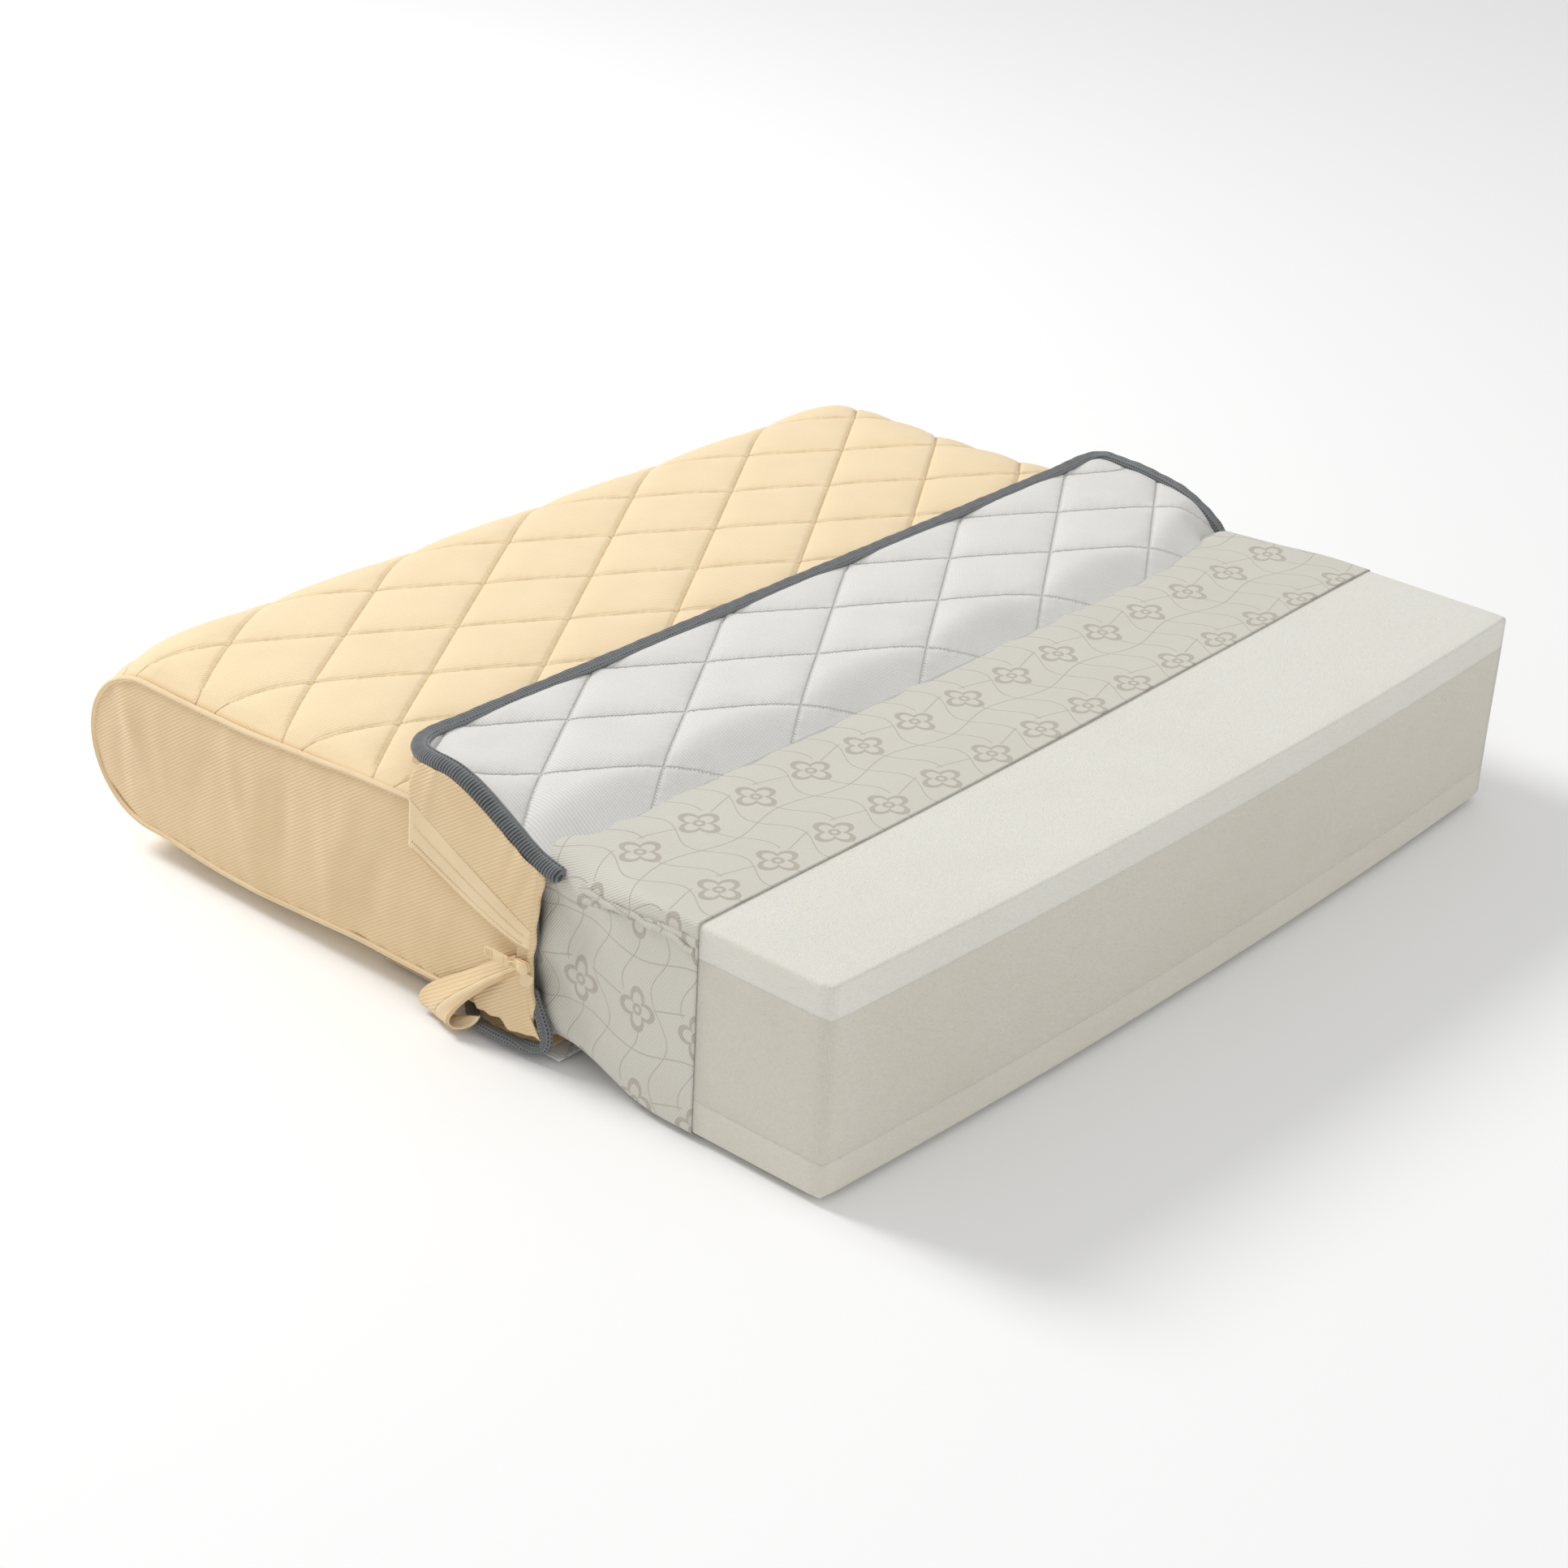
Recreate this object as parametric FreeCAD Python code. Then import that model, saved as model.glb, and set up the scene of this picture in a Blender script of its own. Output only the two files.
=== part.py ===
"""Short display-length memory foam mattress with its zipped quilted cover half open.

Three glued foam layers stand in a printed stretch inner cover. The removable outer cover is one
quilted panel wrapped over the top, round the closed end and under the bottom, with a plain twill
gusset on each side. At the open end the zip is undone: the top flap is turned back over the cover
and the bottom flap is turned under it.

Build axes, millimetres: X across the width, Y from the open end (foam corners at Y = 0) to the
closed end, Z up from the floor. Every solid is moved along Y at the end, so that the origin is at
the middle of the footprint.
"""
import FreeCAD, Part
import os

V = FreeCAD.Vector

# ---- foam core -------------------------------------------------------------------------------
FOAM_HALF = 450.0          # half the width
FOAM_LENGTH = 790.0
FOAM_BOW = 11.0            # how far the cut end face bulges at mid width
FOAM_FRONT_Z = 1.0         # underside of the uncovered end
FOAM_REAR_Z = 7.4          # underside inside the outer cover
FOAM_TOP_Z = 173.6
BASE_TOP_Z = 30.4          # top of the base layer
CORE_TOP_Z = 146.6         # top of the support core
END_RADIUS = 70.0          # rounding of the closed end, seen from the side
RAMP_START = 240.0         # where the underside starts to rise into the cover
RAMP_END = 268.0

# ---- inner cover -----------------------------------------------------------------------------
INNER = 1.0                # thickness of the stretch fabric
INNER_START = 125.0        # its cut edge
SEAM_LOW = 151.0           # overlocked ridge along the side, below the top corner
SEAM_HEIGHT = 3.0
SEAM_WIDTH = 1.6

# ---- outer cover -----------------------------------------------------------------------------
MOUTH = 270.0              # open edge of the part that stays on the foam
PANEL_HALF = 451.2
LAYERS = (("lining", 1.3, 1.9), ("wadding", 1.9, 6.6), ("fabric", 6.6, 7.4))
FLAT_LAYERS = (("lining", 5.5, 6.1), ("wadding", 4.0, 5.5), ("fabric", 3.4, 4.0))
GUSSET_IN = 451.5
GUSSET_OUT = 454.5
GUSSET_LOW = 18.0
GUSSET_HIGH = 160.0
GUSSET_CENTRE_Y = 725.0    # centre of the gusset's round end
PIPING_R = 2.4
BINDING = 6.0              # width of the grey edge binding
CORNER = 20.0              # corner radius of the flap

# ---- top flap, turned back -------------------------------------------------------------------
FOLD = 262.0               # fold line
FOLD_Z = 184.4
FLAP_START = 265.0
FLAP_END = 446.0
FLAP_HALF = 446.0
FLAP_LAYERS = (("fabric", 185.4, 186.2), ("wadding", 186.2, 192.8), ("lining", 192.8, 193.6))
FLAP_BINDING_Z = (185.3, 193.8)

# ---- strips and borders with the zip ---------------------------------------------------------
STRIP_IN = 457.0
STRIP_THICK = 2.6
SEAM_NEAR = 170.0          # height of the seam that a strip hangs from, at the mouth
SEAM_FAR = 205.0           # and at the flap's corner
STRIP_DROP = 78.0          # from the seam to the zip edge
NEAR_CUT = 0.34            # slant of the strip's end beside the mouth
SEAM_GAP = 1.0
TAPE = 18.0
TEETH = 2.0
BORDER_HALF = 440.0
BORDER_START = 452.0
BORDER_END = 370.0
BORDER_Z = (181.4, 185.0)

# ---- bottom flap, turned under ---------------------------------------------------------------
UNDER_END = 470.0
UNDER_LAYERS = (("fabric", 1.8, 2.2), ("wadding", 0.4, 1.8), ("lining", 0.0, 0.4))
UNDER_BINDING_Z = (0.3, 3.1)
UNDER_BORDER_Z = (2.5, 3.1)
UNDER_BORDER_END = 394.0
LOW_STRIP = ((275.0, 4.0), (275.0, 76.0), (345.0, 10.0), (345.0, 4.0))
LOW_TAPE_TOP = (281.0, 70.0)
LOW_TAPE_END = (345.0, 14.0)
LOW_TAPE_IN = 459.3
LOOP_R = 12.5
LOOP_X = 462.5
LOOP_Z = 13.2
LOOP_Y = (320.0, 350.0)

# ---- zip slider ------------------------------------------------------------------------------
SLIDER = (282.0, 79.0)     # its middle, along Y and Z
SLIDER_LENGTH = 15.0
SLIDER_WIDTH = 9.0
SLIDER_IN = 461.6
SLIDER_THICK = 4.0
DOME_R = 5.2
TAB_LENGTH = 26.0
TAB_WIDTH = 9.0
TAB_THICK = 1.4
TAB_GAP = 0.9
BAIL_R = 0.8
PATCH_MIDDLE = (279.0, 69.0)
PATCH_R = 8.0
PATCH_TOP = 73.0
PATCH_IN = 461.2
PATCH_THICK = 0.6

COVER_END = FOAM_LENGTH + LAYERS[-1][2]
Y_SHIFT = (FOAM_BOW - COVER_END) / 2.0


def save(name, shape):
    """Move a finished piece to the part's frame and write it to its own file."""
    placed = shape.copy()
    placed.translate(V(0.0, Y_SHIFT, 0.0))
    placed.exportStep("parts/" + name + ".step")
    box = placed.BoundBox
    print("%-28s %8.1f %8.1f | %8.1f %8.1f | %7.1f %7.1f  valid %s solids %d" % (
        name, box.XMin, box.XMax, box.YMin, box.YMax, box.ZMin, box.ZMax,
        placed.isValid(), len(placed.Solids)))


def block(x0, x1, y0, y1, z0, z1):
    """A box between opposite corners, whichever way round each pair is given."""
    low = V(min(x0, x1), min(y0, y1), min(z0, z1))
    return Part.makeBox(abs(x1 - x0), abs(y1 - y0), abs(z1 - z0), low)


def prism_x(points, x0, x1):
    """A closed outline of (y, z) points, extruded from x0 to x1."""
    corners = [V(x0, y, z) for y, z in points]
    face = Part.Face(Part.makePolygon(corners + corners[:1]))
    return face.extrude(V(x1 - x0, 0.0, 0.0))


def round_end(half, offset):
    """The foam block's side view grown by an offset, extruded over the width."""
    low = FOAM_REAR_Z - offset
    high = FOAM_TOP_Z + offset
    end = FOAM_LENGTH + offset
    body = block(-half, half, -FOAM_BOW, end, low, high)
    far_edges = [edge for edge in body.Edges
                 if abs(edge.BoundBox.YMin - end) < 0.01 and edge.BoundBox.XLength > half]
    return body.makeFillet(END_RADIUS + offset, far_edges)


def bowed_plan():
    """The plan of the foam: straight sides and a cut end that bulges a little."""
    left = V(-FOAM_HALF, 0.0, 0.0)
    right = V(FOAM_HALF, 0.0, 0.0)
    end = FOAM_LENGTH + 1.0
    bulge = Part.Arc(left, V(0.0, -FOAM_BOW, 0.0), right).toShape()
    sides = Part.makePolygon([right, V(FOAM_HALF, end, 0.0), V(-FOAM_HALF, end, 0.0), left])
    face = Part.Face(Part.Wire([bulge] + sides.Edges))
    return face.extrude(V(0.0, 0.0, FOAM_TOP_Z + 10.0))


def mirrored(shape):
    """The same piece on the other side of the mattress."""
    return shape.mirror(V(0.0, 0.0, 0.0), V(1.0, 0.0, 0.0))


def save_pair(name, left_shape):
    """Write a left piece and its mirror image on the right."""
    save(name + "_left", left_shape)
    save(name + "_right", mirrored(left_shape))


def make_foam():
    """Comfort layer, support core and base layer, glued face to face."""
    core = round_end(FOAM_HALF, 0.0)
    lower = prism_x([(-FOAM_BOW, FOAM_FRONT_Z), (RAMP_START, FOAM_FRONT_Z),
                     (RAMP_END, FOAM_REAR_Z), (RAMP_END, BASE_TOP_Z), (-FOAM_BOW, BASE_TOP_Z)],
                    -FOAM_HALF, FOAM_HALF)
    whole = core.fuse(lower).common(bowed_plan())
    cuts = (("foam_base_layer", 0.0, BASE_TOP_Z), ("foam_support_core", BASE_TOP_Z, CORE_TOP_Z),
            ("foam_comfort_layer", CORE_TOP_Z, FOAM_TOP_Z))
    for name, low, high in cuts:
        slab = block(-500.0, 500.0, -50.0, 900.0, low, high)
        save(name, whole.common(slab).removeSplitter())


def make_inner_cover():
    """The stretch fabric skin: top, underside, closed end, two sides, and the corner seams."""
    straight = FOAM_LENGTH - END_RADIUS
    top_skin = block(-FOAM_HALF, FOAM_HALF, INNER_START, straight, FOAM_TOP_Z, FOAM_TOP_Z + INNER)
    save("inner_cover_top", top_skin)
    under = [(INNER_START, FOAM_FRONT_Z), (RAMP_START, FOAM_FRONT_Z), (RAMP_END, FOAM_REAR_Z),
             (straight, FOAM_REAR_Z)]
    lowered = [(y, z - INNER) for y, z in reversed(under)]
    save("inner_cover_underside", prism_x(under + lowered, -FOAM_HALF, FOAM_HALF))
    shell = round_end(FOAM_HALF, INNER).cut(round_end(FOAM_HALF + 1.0, 0.0))
    behind = block(-500.0, 500.0, straight, 900.0, -50.0, 300.0)
    save("inner_cover_end", shell.common(behind))
    side = round_end(FOAM_HALF, INNER)
    side = side.fuse(prism_x(under + [(straight, 100.0), (INNER_START, 100.0)], -FOAM_HALF, FOAM_HALF))
    thin = block(-FOAM_HALF, -FOAM_HALF + INNER, INNER_START, 900.0, -50.0, 300.0)
    side = side.common(thin).removeSplitter()
    side.translate(V(-INNER, 0.0, 0.0))
    save_pair("inner_cover_side", side)
    skin_face = -FOAM_HALF - INNER
    ridge = block(skin_face - SEAM_WIDTH, skin_face, INNER_START, MOUTH - 12.0,
                  SEAM_LOW, SEAM_LOW + SEAM_HEIGHT)
    save_pair("inner_cover_seam", ridge)


def make_wrap_panel():
    """The quilted panel's three layers over the top, round the closed end and underneath."""
    straight = FOAM_LENGTH - END_RADIUS
    behind = block(-500.0, 500.0, straight, 900.0, -50.0, 300.0)
    for (name, inner, outer), (flat_name, flat_low, flat_high) in zip(LAYERS, FLAT_LAYERS):
        save("cover_top_" + name, block(-PANEL_HALF, PANEL_HALF, MOUTH, straight,
                                        FOAM_TOP_Z + inner, FOAM_TOP_Z + outer))
        shell = round_end(PANEL_HALF, outer).cut(round_end(PANEL_HALF + 1.0, inner))
        save("cover_end_" + name, shell.common(behind))
        step_low = FOAM_REAR_Z - outer
        step_high = FOAM_REAR_Z - inner
        knee = UNDER_END + BINDING + 2.0
        rise = knee + 8.0
        outline = [(MOUTH, flat_low), (knee, flat_low), (rise, step_low), (straight, step_low),
                   (straight, step_high), (rise, step_high), (knee, flat_high), (MOUTH, flat_high)]
        save("cover_bottom_" + name, prism_x(outline, -PANEL_HALF, PANEL_HALF))


def gusset_outline(x, grow):
    """The gusset's outline as a line, a half circle and a line, from mouth to mouth."""
    middle = (GUSSET_LOW + GUSSET_HIGH) / 2.0
    radius = (GUSSET_HIGH - GUSSET_LOW) / 2.0 + grow
    top_start = V(x, MOUTH + 2.0, middle + radius)
    top_end = V(x, GUSSET_CENTRE_Y, middle + radius)
    tip = V(x, GUSSET_CENTRE_Y + radius, middle)
    low_end = V(x, GUSSET_CENTRE_Y, middle - radius)
    low_start = V(x, MOUTH + 2.0, middle - radius)
    return [Part.makeLine(top_start, top_end), Part.Arc(top_end, tip, low_end).toShape(),
            Part.makeLine(low_end, low_start)]


def make_piping_tube():
    """A round cord that follows the gusset's edge: two straight runs and a half ring."""
    x = -(GUSSET_IN + PIPING_R + 0.3)
    middle = (GUSSET_LOW + GUSSET_HIGH) / 2.0
    reach = (GUSSET_HIGH - GUSSET_LOW) / 2.0 + PIPING_R
    start = MOUTH + 2.0
    forward = V(0.0, 1.0, 0.0)
    ring = Part.makeTorus(reach, PIPING_R, V(x, GUSSET_CENTRE_Y, middle), V(1.0, 0.0, 0.0))
    tube = ring.common(block(-500.0, -400.0, GUSSET_CENTRE_Y, 900.0, -50.0, 300.0))
    for side in (-1.0, 1.0):
        run = Part.makeCylinder(PIPING_R, GUSSET_CENTRE_Y - start,
                                V(x, start, middle + side * reach), forward)
        tube = tube.fuse(run)
    return tube.removeSplitter()


def make_sides():
    """Twill gussets, the piping sewn round them, and the bound seam at the mouth."""
    edges = gusset_outline(-GUSSET_OUT, 0.0)
    closing = Part.makeLine(edges[-1].Vertexes[-1].Point, edges[0].Vertexes[0].Point)
    face = Part.Face(Part.Wire(edges + [closing]))
    save_pair("side_gusset", face.extrude(V(GUSSET_OUT - GUSSET_IN, 0.0, 0.0)))
    save_pair("piping", make_piping_tube())
    binding = block(-GUSSET_OUT, -GUSSET_IN, MOUTH - 4.5, MOUTH + 1.5, GUSSET_LOW, GUSSET_HIGH)
    save_pair("mouth_binding", binding)


def flap_plate(half, y0, y1, radius, z0, z1):
    """A plate with its two far corners rounded."""
    plate = block(-half, half, y0, y1, z0, z1)
    corners = [edge for edge in plate.Edges
               if abs(edge.BoundBox.YMin - y1) < 0.01 and edge.BoundBox.ZLength > 0.9 * (z1 - z0)
               and edge.BoundBox.XLength < 0.01]
    return plate.makeFillet(radius, corners)


def flap_rim(half, y0, y1, z0, z1, cut_z0, cut_z1):
    """The binding round a flap's two sides and free edge."""
    outer = flap_plate(half + BINDING, y0, y1 + BINDING, CORNER + BINDING, z0, z1)
    inner = flap_plate(half, y0 - 1.0, y1, CORNER, cut_z0, cut_z1)
    return outer.cut(inner)


def make_top_flap():
    """The end of the quilted panel, lying on the cover with its lining up, and its binding."""
    for name, low, high in FLAP_LAYERS:
        save("flap_" + name, flap_plate(FLAP_HALF, FLAP_START, FLAP_END, CORNER, low, high))
    low, high = FLAP_BINDING_Z
    rim = flap_rim(FLAP_HALF, FLAP_START, FLAP_END, low, high, low - 1.0, high + 1.0)
    save("flap_binding", rim)


def slanted_band(upper, lower, x0, x1):
    """A band of the side strip, between two distances below its sloping seam."""
    near_low = FLAP_START + NEAR_CUT * lower
    near_high = FLAP_START + NEAR_CUT * upper
    slope = (SEAM_FAR - SEAM_NEAR) / (FLAP_END - FLAP_START)
    outline = [(near_low, SEAM_NEAR + slope * (near_low - FLAP_START) - lower),
               (FLAP_END, SEAM_FAR - lower), (FLAP_END, SEAM_FAR - upper),
               (near_high, SEAM_NEAR + slope * (near_high - FLAP_START) - upper)]
    return prism_x(outline, x0, x1)


def make_upper_zip():
    """Upper half of the open end's border: two side strips and the end border, each with zip."""
    outside = -(STRIP_IN + STRIP_THICK)
    tape_out = outside + 0.8
    coil_top = STRIP_DROP - TEETH
    tape_top = coil_top - TAPE
    save_pair("upper_strip", slanted_band(SEAM_GAP, tape_top, outside, -STRIP_IN))
    save_pair("upper_zip_tape", slanted_band(tape_top, coil_top, tape_out, -STRIP_IN))
    save_pair("upper_zip_teeth", slanted_band(coil_top, STRIP_DROP, outside, -STRIP_IN))
    low, high = BORDER_Z
    tape_end = BORDER_END + TEETH + TAPE
    save("upper_end_border", block(-BORDER_HALF, BORDER_HALF, tape_end, BORDER_START, low, high))
    save("upper_border_zip_tape", block(-BORDER_HALF, BORDER_HALF, BORDER_END + TEETH, tape_end,
                                        low + 0.8, high - 0.8))
    save("upper_border_zip_teeth", block(-BORDER_HALF, BORDER_HALF, BORDER_END,
                                         BORDER_END + TEETH, low + 0.3, high - 0.3))


def make_bottom_flap():
    """The bottom end of the quilted panel, turned under and pressed flat by the mattress."""
    start = MOUTH + 2.0
    for name, low, high in UNDER_LAYERS:
        plate = flap_plate(FLAP_HALF, start, UNDER_END, CORNER, low, high)
        save("under_flap_" + name, plate)
    low, high = UNDER_BINDING_Z
    save("under_flap_binding", flap_rim(FLAP_HALF, start, UNDER_END, low, high, low - 1.0, high + 1.0))
    low, high = UNDER_BORDER_Z
    tape_end = UNDER_BORDER_END + TEETH + TAPE
    save("lower_end_border", block(-BORDER_HALF, BORDER_HALF, tape_end, UNDER_END - 8.0, low, high))
    save("lower_border_zip_tape", block(-BORDER_HALF, BORDER_HALF, UNDER_BORDER_END + TEETH,
                                        tape_end, low, high))
    save("lower_border_zip_teeth", block(-BORDER_HALF, BORDER_HALF, UNDER_BORDER_END,
                                         UNDER_BORDER_END + TEETH, low, high))


def make_lower_zip():
    """Lower side strips: they stand by the mouth, fall to the floor and curl under in a loop."""
    strip = prism_x(LOW_STRIP, -(STRIP_IN + 2.0), -STRIP_IN)
    save_pair("lower_strip", strip)
    (y0, z0), (y1, z1) = LOW_TAPE_TOP, LOW_TAPE_END
    run = V(0.0, y1 - y0, z1 - z0)
    along = V(run).normalize()
    across = V(0.0, along.z, -along.y)
    tape_out = -(LOW_TAPE_IN + 1.4)

    def ribbon(near, far, x0, x1):
        start = V(x0, y0, z0)
        corners = [start + across * near, start + run + across * near,
                   start + run + across * far, start + across * far]
        face = Part.Face(Part.makePolygon(corners + corners[:1]))
        return face.extrude(V(x1 - x0, 0.0, 0.0))

    save_pair("lower_zip_tape", ribbon(0.0, TAPE - 4.0, tape_out, -LOW_TAPE_IN))
    save_pair("lower_zip_teeth", ribbon(-TEETH, 0.0, tape_out - 0.4, -LOW_TAPE_IN))
    loop_y0, loop_y1 = LOOP_Y
    forward = V(0.0, 1.0, 0.0)
    centre = V(-LOOP_X, loop_y0, LOOP_Z)
    ring = Part.makeCylinder(LOOP_R, loop_y1 - loop_y0, centre, forward)
    ring = ring.cut(Part.makeCylinder(LOOP_R - 1.4, loop_y1 - loop_y0, centre, forward))
    outer_half = block(-LOOP_X - 20.0, -LOOP_X, loop_y0 - 1.0, loop_y1 + 1.0, -1.0, 60.0)
    save_pair("lower_zip_loop", ring.common(outer_half))
    patch = Part.makeCylinder(PATCH_R, PATCH_THICK, V(-PATCH_IN - PATCH_THICK, *PATCH_MIDDLE),
                              V(1.0, 0.0, 0.0))
    under_slider = block(-480.0, -440.0, 200.0, 400.0, 40.0, PATCH_TOP)
    save_pair("zip_end_patch", patch.common(under_slider))


def make_slider():
    """The zip slider parked at its stop, its bail, and the pull tab lying back along the zip."""
    middle_y, middle_z = SLIDER
    outside = SLIDER_IN + SLIDER_THICK
    body = block(-outside, -SLIDER_IN, middle_y - SLIDER_LENGTH / 2.0,
                 middle_y + SLIDER_LENGTH / 2.0, middle_z - SLIDER_WIDTH / 2.0,
                 middle_z + SLIDER_WIDTH / 2.0)
    body = body.makeFillet(1.2, body.Edges)
    dome = Part.makeCylinder(DOME_R, 1.4, V(-outside, middle_y, middle_z), V(-1.0, 0.0, 0.0))
    dome = dome.makeFillet(0.9, [edge for edge in dome.Edges
                                 if abs(edge.BoundBox.XMax + outside + 1.4) < 0.01])
    save("slider_body", body.fuse(dome).removeSplitter())
    pivot_y = middle_y + SLIDER_LENGTH / 2.0 + 1.6
    pivot_x = -(outside + 0.6)
    pin_half = TAB_WIDTH / 2.0 - 1.2
    pin = Part.makeCylinder(BAIL_R, 2.0 * pin_half, V(pivot_x, pivot_y, middle_z - pin_half),
                            V(0.0, 0.0, 1.0))
    for side in (-1.0, 1.0):
        arm_z = middle_z + side * (pin_half - BAIL_R)
        arm = block(pivot_x - BAIL_R, pivot_x + BAIL_R, middle_y + SLIDER_LENGTH / 2.0, pivot_y,
                    arm_z - BAIL_R, arm_z + BAIL_R)
        pin = pin.fuse(arm)
    save("slider_bail", pin.removeSplitter())
    tab = block(pivot_x - TAB_THICK / 2.0, pivot_x + TAB_THICK / 2.0, pivot_y + BAIL_R + TAB_GAP,
                pivot_y + TAB_LENGTH, middle_z - TAB_WIDTH / 2.0, middle_z + TAB_WIDTH / 2.0)
    save("pull_tab", tab)
    print("pull tab pivot", pivot_x, pivot_y + Y_SHIFT, middle_z)


os.makedirs("parts", exist_ok=True)
make_foam()
make_inner_cover()
make_wrap_panel()
make_sides()
make_top_flap()
make_upper_zip()
make_bottom_flap()
make_lower_zip()
make_slider()
print("fold axis", FOLD + Y_SHIFT, FOLD_Z)
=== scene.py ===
import math

import bpy
import numpy as np
from mathutils import Matrix, Vector


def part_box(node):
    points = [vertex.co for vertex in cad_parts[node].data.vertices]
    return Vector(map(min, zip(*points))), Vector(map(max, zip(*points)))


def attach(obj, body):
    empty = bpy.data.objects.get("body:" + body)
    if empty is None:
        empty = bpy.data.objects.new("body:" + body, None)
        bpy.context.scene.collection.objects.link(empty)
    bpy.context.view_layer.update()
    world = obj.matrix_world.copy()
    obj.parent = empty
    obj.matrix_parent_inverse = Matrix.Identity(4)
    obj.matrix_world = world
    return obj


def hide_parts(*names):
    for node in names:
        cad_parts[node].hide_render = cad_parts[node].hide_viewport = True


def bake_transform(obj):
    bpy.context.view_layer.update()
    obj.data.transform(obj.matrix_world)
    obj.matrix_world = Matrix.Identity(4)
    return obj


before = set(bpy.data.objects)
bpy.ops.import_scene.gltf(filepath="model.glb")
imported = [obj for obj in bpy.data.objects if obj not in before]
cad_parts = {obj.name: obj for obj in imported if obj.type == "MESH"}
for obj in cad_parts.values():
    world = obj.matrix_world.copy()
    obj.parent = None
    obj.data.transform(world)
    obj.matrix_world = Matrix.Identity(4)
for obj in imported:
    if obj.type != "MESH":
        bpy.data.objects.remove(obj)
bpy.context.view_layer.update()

# Lengths below are millimetres: X from the middle, Y from the foam corners at the open end,
# Z from the floor. SHIFT moves them to the row frame.
FOAM = 450.0
BOW = 12.0                # bulge of the cut end face at mid width
CAD_BOW = 11.0            # the same bulge in the frame
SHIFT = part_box("foam_comfort_layer")[0][1] * 1000 + CAD_BOW
BASE_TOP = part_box("foam_base_layer")[1][2] * 1000
CORE_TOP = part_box("foam_support_core")[1][2] * 1000
FOAM_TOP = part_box("foam_comfort_layer")[1][2] * 1000
COVER_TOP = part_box("cover_top_fabric")[1][2] * 1000
COVER_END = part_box("cover_end_fabric")[1][1] * 1000 - SHIFT
SEAM_X = 452.0            # where the quilt meets the piping
FOLD = 262.0              # fold line of the flap
MOUTH = 276.0             # open edge of the left gusset
INNER_CUT = 124.0         # cut edge of the inner cover
FOAM_END = 789.0
MID_Z = 88.0              # middle height of the closed end
TURN_Y, TURN_R = 722.0, 72.0      # the gusset's round end: where it starts, its length
TURN_HALF = 66.0          # and half its height


# ---- mesh helpers ----------------------------------------------------------------------------
def metres(points):
    p = np.array(points, float)
    p[..., 1] += SHIFT
    return p / 1000.0


def build(name, verts, faces, material, flat=None):
    """A mesh object from points in millimetres and an array of quads or list of faces."""
    mesh = bpy.data.meshes.new(name)
    verts = metres(verts).reshape(-1, 3)
    if isinstance(faces, np.ndarray):
        mesh.vertices.add(len(verts))
        mesh.vertices.foreach_set("co", verts.astype(np.float32).ravel())
        n = faces.shape[0]
        mesh.loops.add(n * 4)
        mesh.loops.foreach_set("vertex_index", faces.astype(np.int32).ravel())
        mesh.polygons.add(n)
        mesh.polygons.foreach_set("loop_start", np.arange(n, dtype=np.int32) * 4)
        mesh.update(calc_edges=True)
        mesh.validate()
    else:
        mesh.from_pydata([tuple(v) for v in verts], [], faces)
    mesh.polygons.foreach_set("use_smooth", np.full(len(mesh.polygons), True))
    if flat is not None:
        attribute = mesh.attributes.new("flat", "FLOAT_VECTOR", "POINT")
        attribute.data.foreach_set("vector", (np.asarray(flat, float).reshape(-1, 3) / 1000)
                                   .astype(np.float32).ravel())
    mesh.materials.append(material)
    obj = bpy.data.objects.new(name, mesh)
    bpy.context.scene.collection.objects.link(obj)
    return obj


def quads(n, m, wrap_m=False, offset=0):
    """Quads of a grid of n by m points, closed across m if wrapped."""
    i = np.arange(n - 1)
    j = np.arange(m if wrap_m else m - 1)
    i, j = np.meshgrid(i, j, indexing="ij")
    i2, j2 = (i + 1) % n, (j + 1) % m
    return np.stack([i * m + j, i2 * m + j, i2 * m + j2, i * m + j2], -1).reshape(-1, 4) + offset


def normals(p):
    """Surface normals of a grid of points."""
    return unit(np.cross(np.gradient(p, axis=0), np.gradient(p, axis=1)))


def flat3(u, v):
    u, v = np.broadcast_arrays(u, v)
    return np.stack([u, v, np.zeros_like(u)], -1)


def slab(name, top, bottom, material, flat=None):
    """A closed sheet between two grids of the same size."""
    n, m = top.shape[:2]
    faces = [quads(n, m), quads(n, m, offset=n * m)[:, ::-1]]
    rim = np.concatenate([np.arange(m), np.arange(1, n) * m + m - 1,
                          (n - 1) * m + np.arange(m - 2, -1, -1), np.arange(n - 2, 0, -1) * m])
    nxt = np.roll(rim, -1)
    faces.append(np.stack([nxt, rim, rim + n * m, nxt + n * m], -1)[:, ::-1])
    verts = np.concatenate([top.reshape(-1, 3), bottom.reshape(-1, 3)])
    if flat is not None:
        flat = np.concatenate([flat.reshape(-1, 3)] * 2)
    return build(name, verts, np.concatenate(faces), material, flat)


def sheet_of(name, p, thick, material, flat=None):
    """A sheet of one thickness below a grid, with flat coordinates from Y and Z by default."""
    if flat is None:
        flat = flat3(p[..., 1], p[..., 2])
    return slab(name, p, p - normals(p) * thick, material, flat)


def belong(obj, body, slot, *nodes):
    """The body a piece rides on, its material slot (not used) and the frame nodes that it stands
    for.
    """
    if nodes:
        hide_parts(*nodes)
    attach(obj, body)


def resample(path, step):
    """A path's points at even steps, and their distances."""
    path = np.asarray(path, float)
    d = lengths(path)
    t = np.linspace(0, d[-1], max(int(d[-1] / step), 2) + 1)
    return take(t, d, path), t


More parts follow.
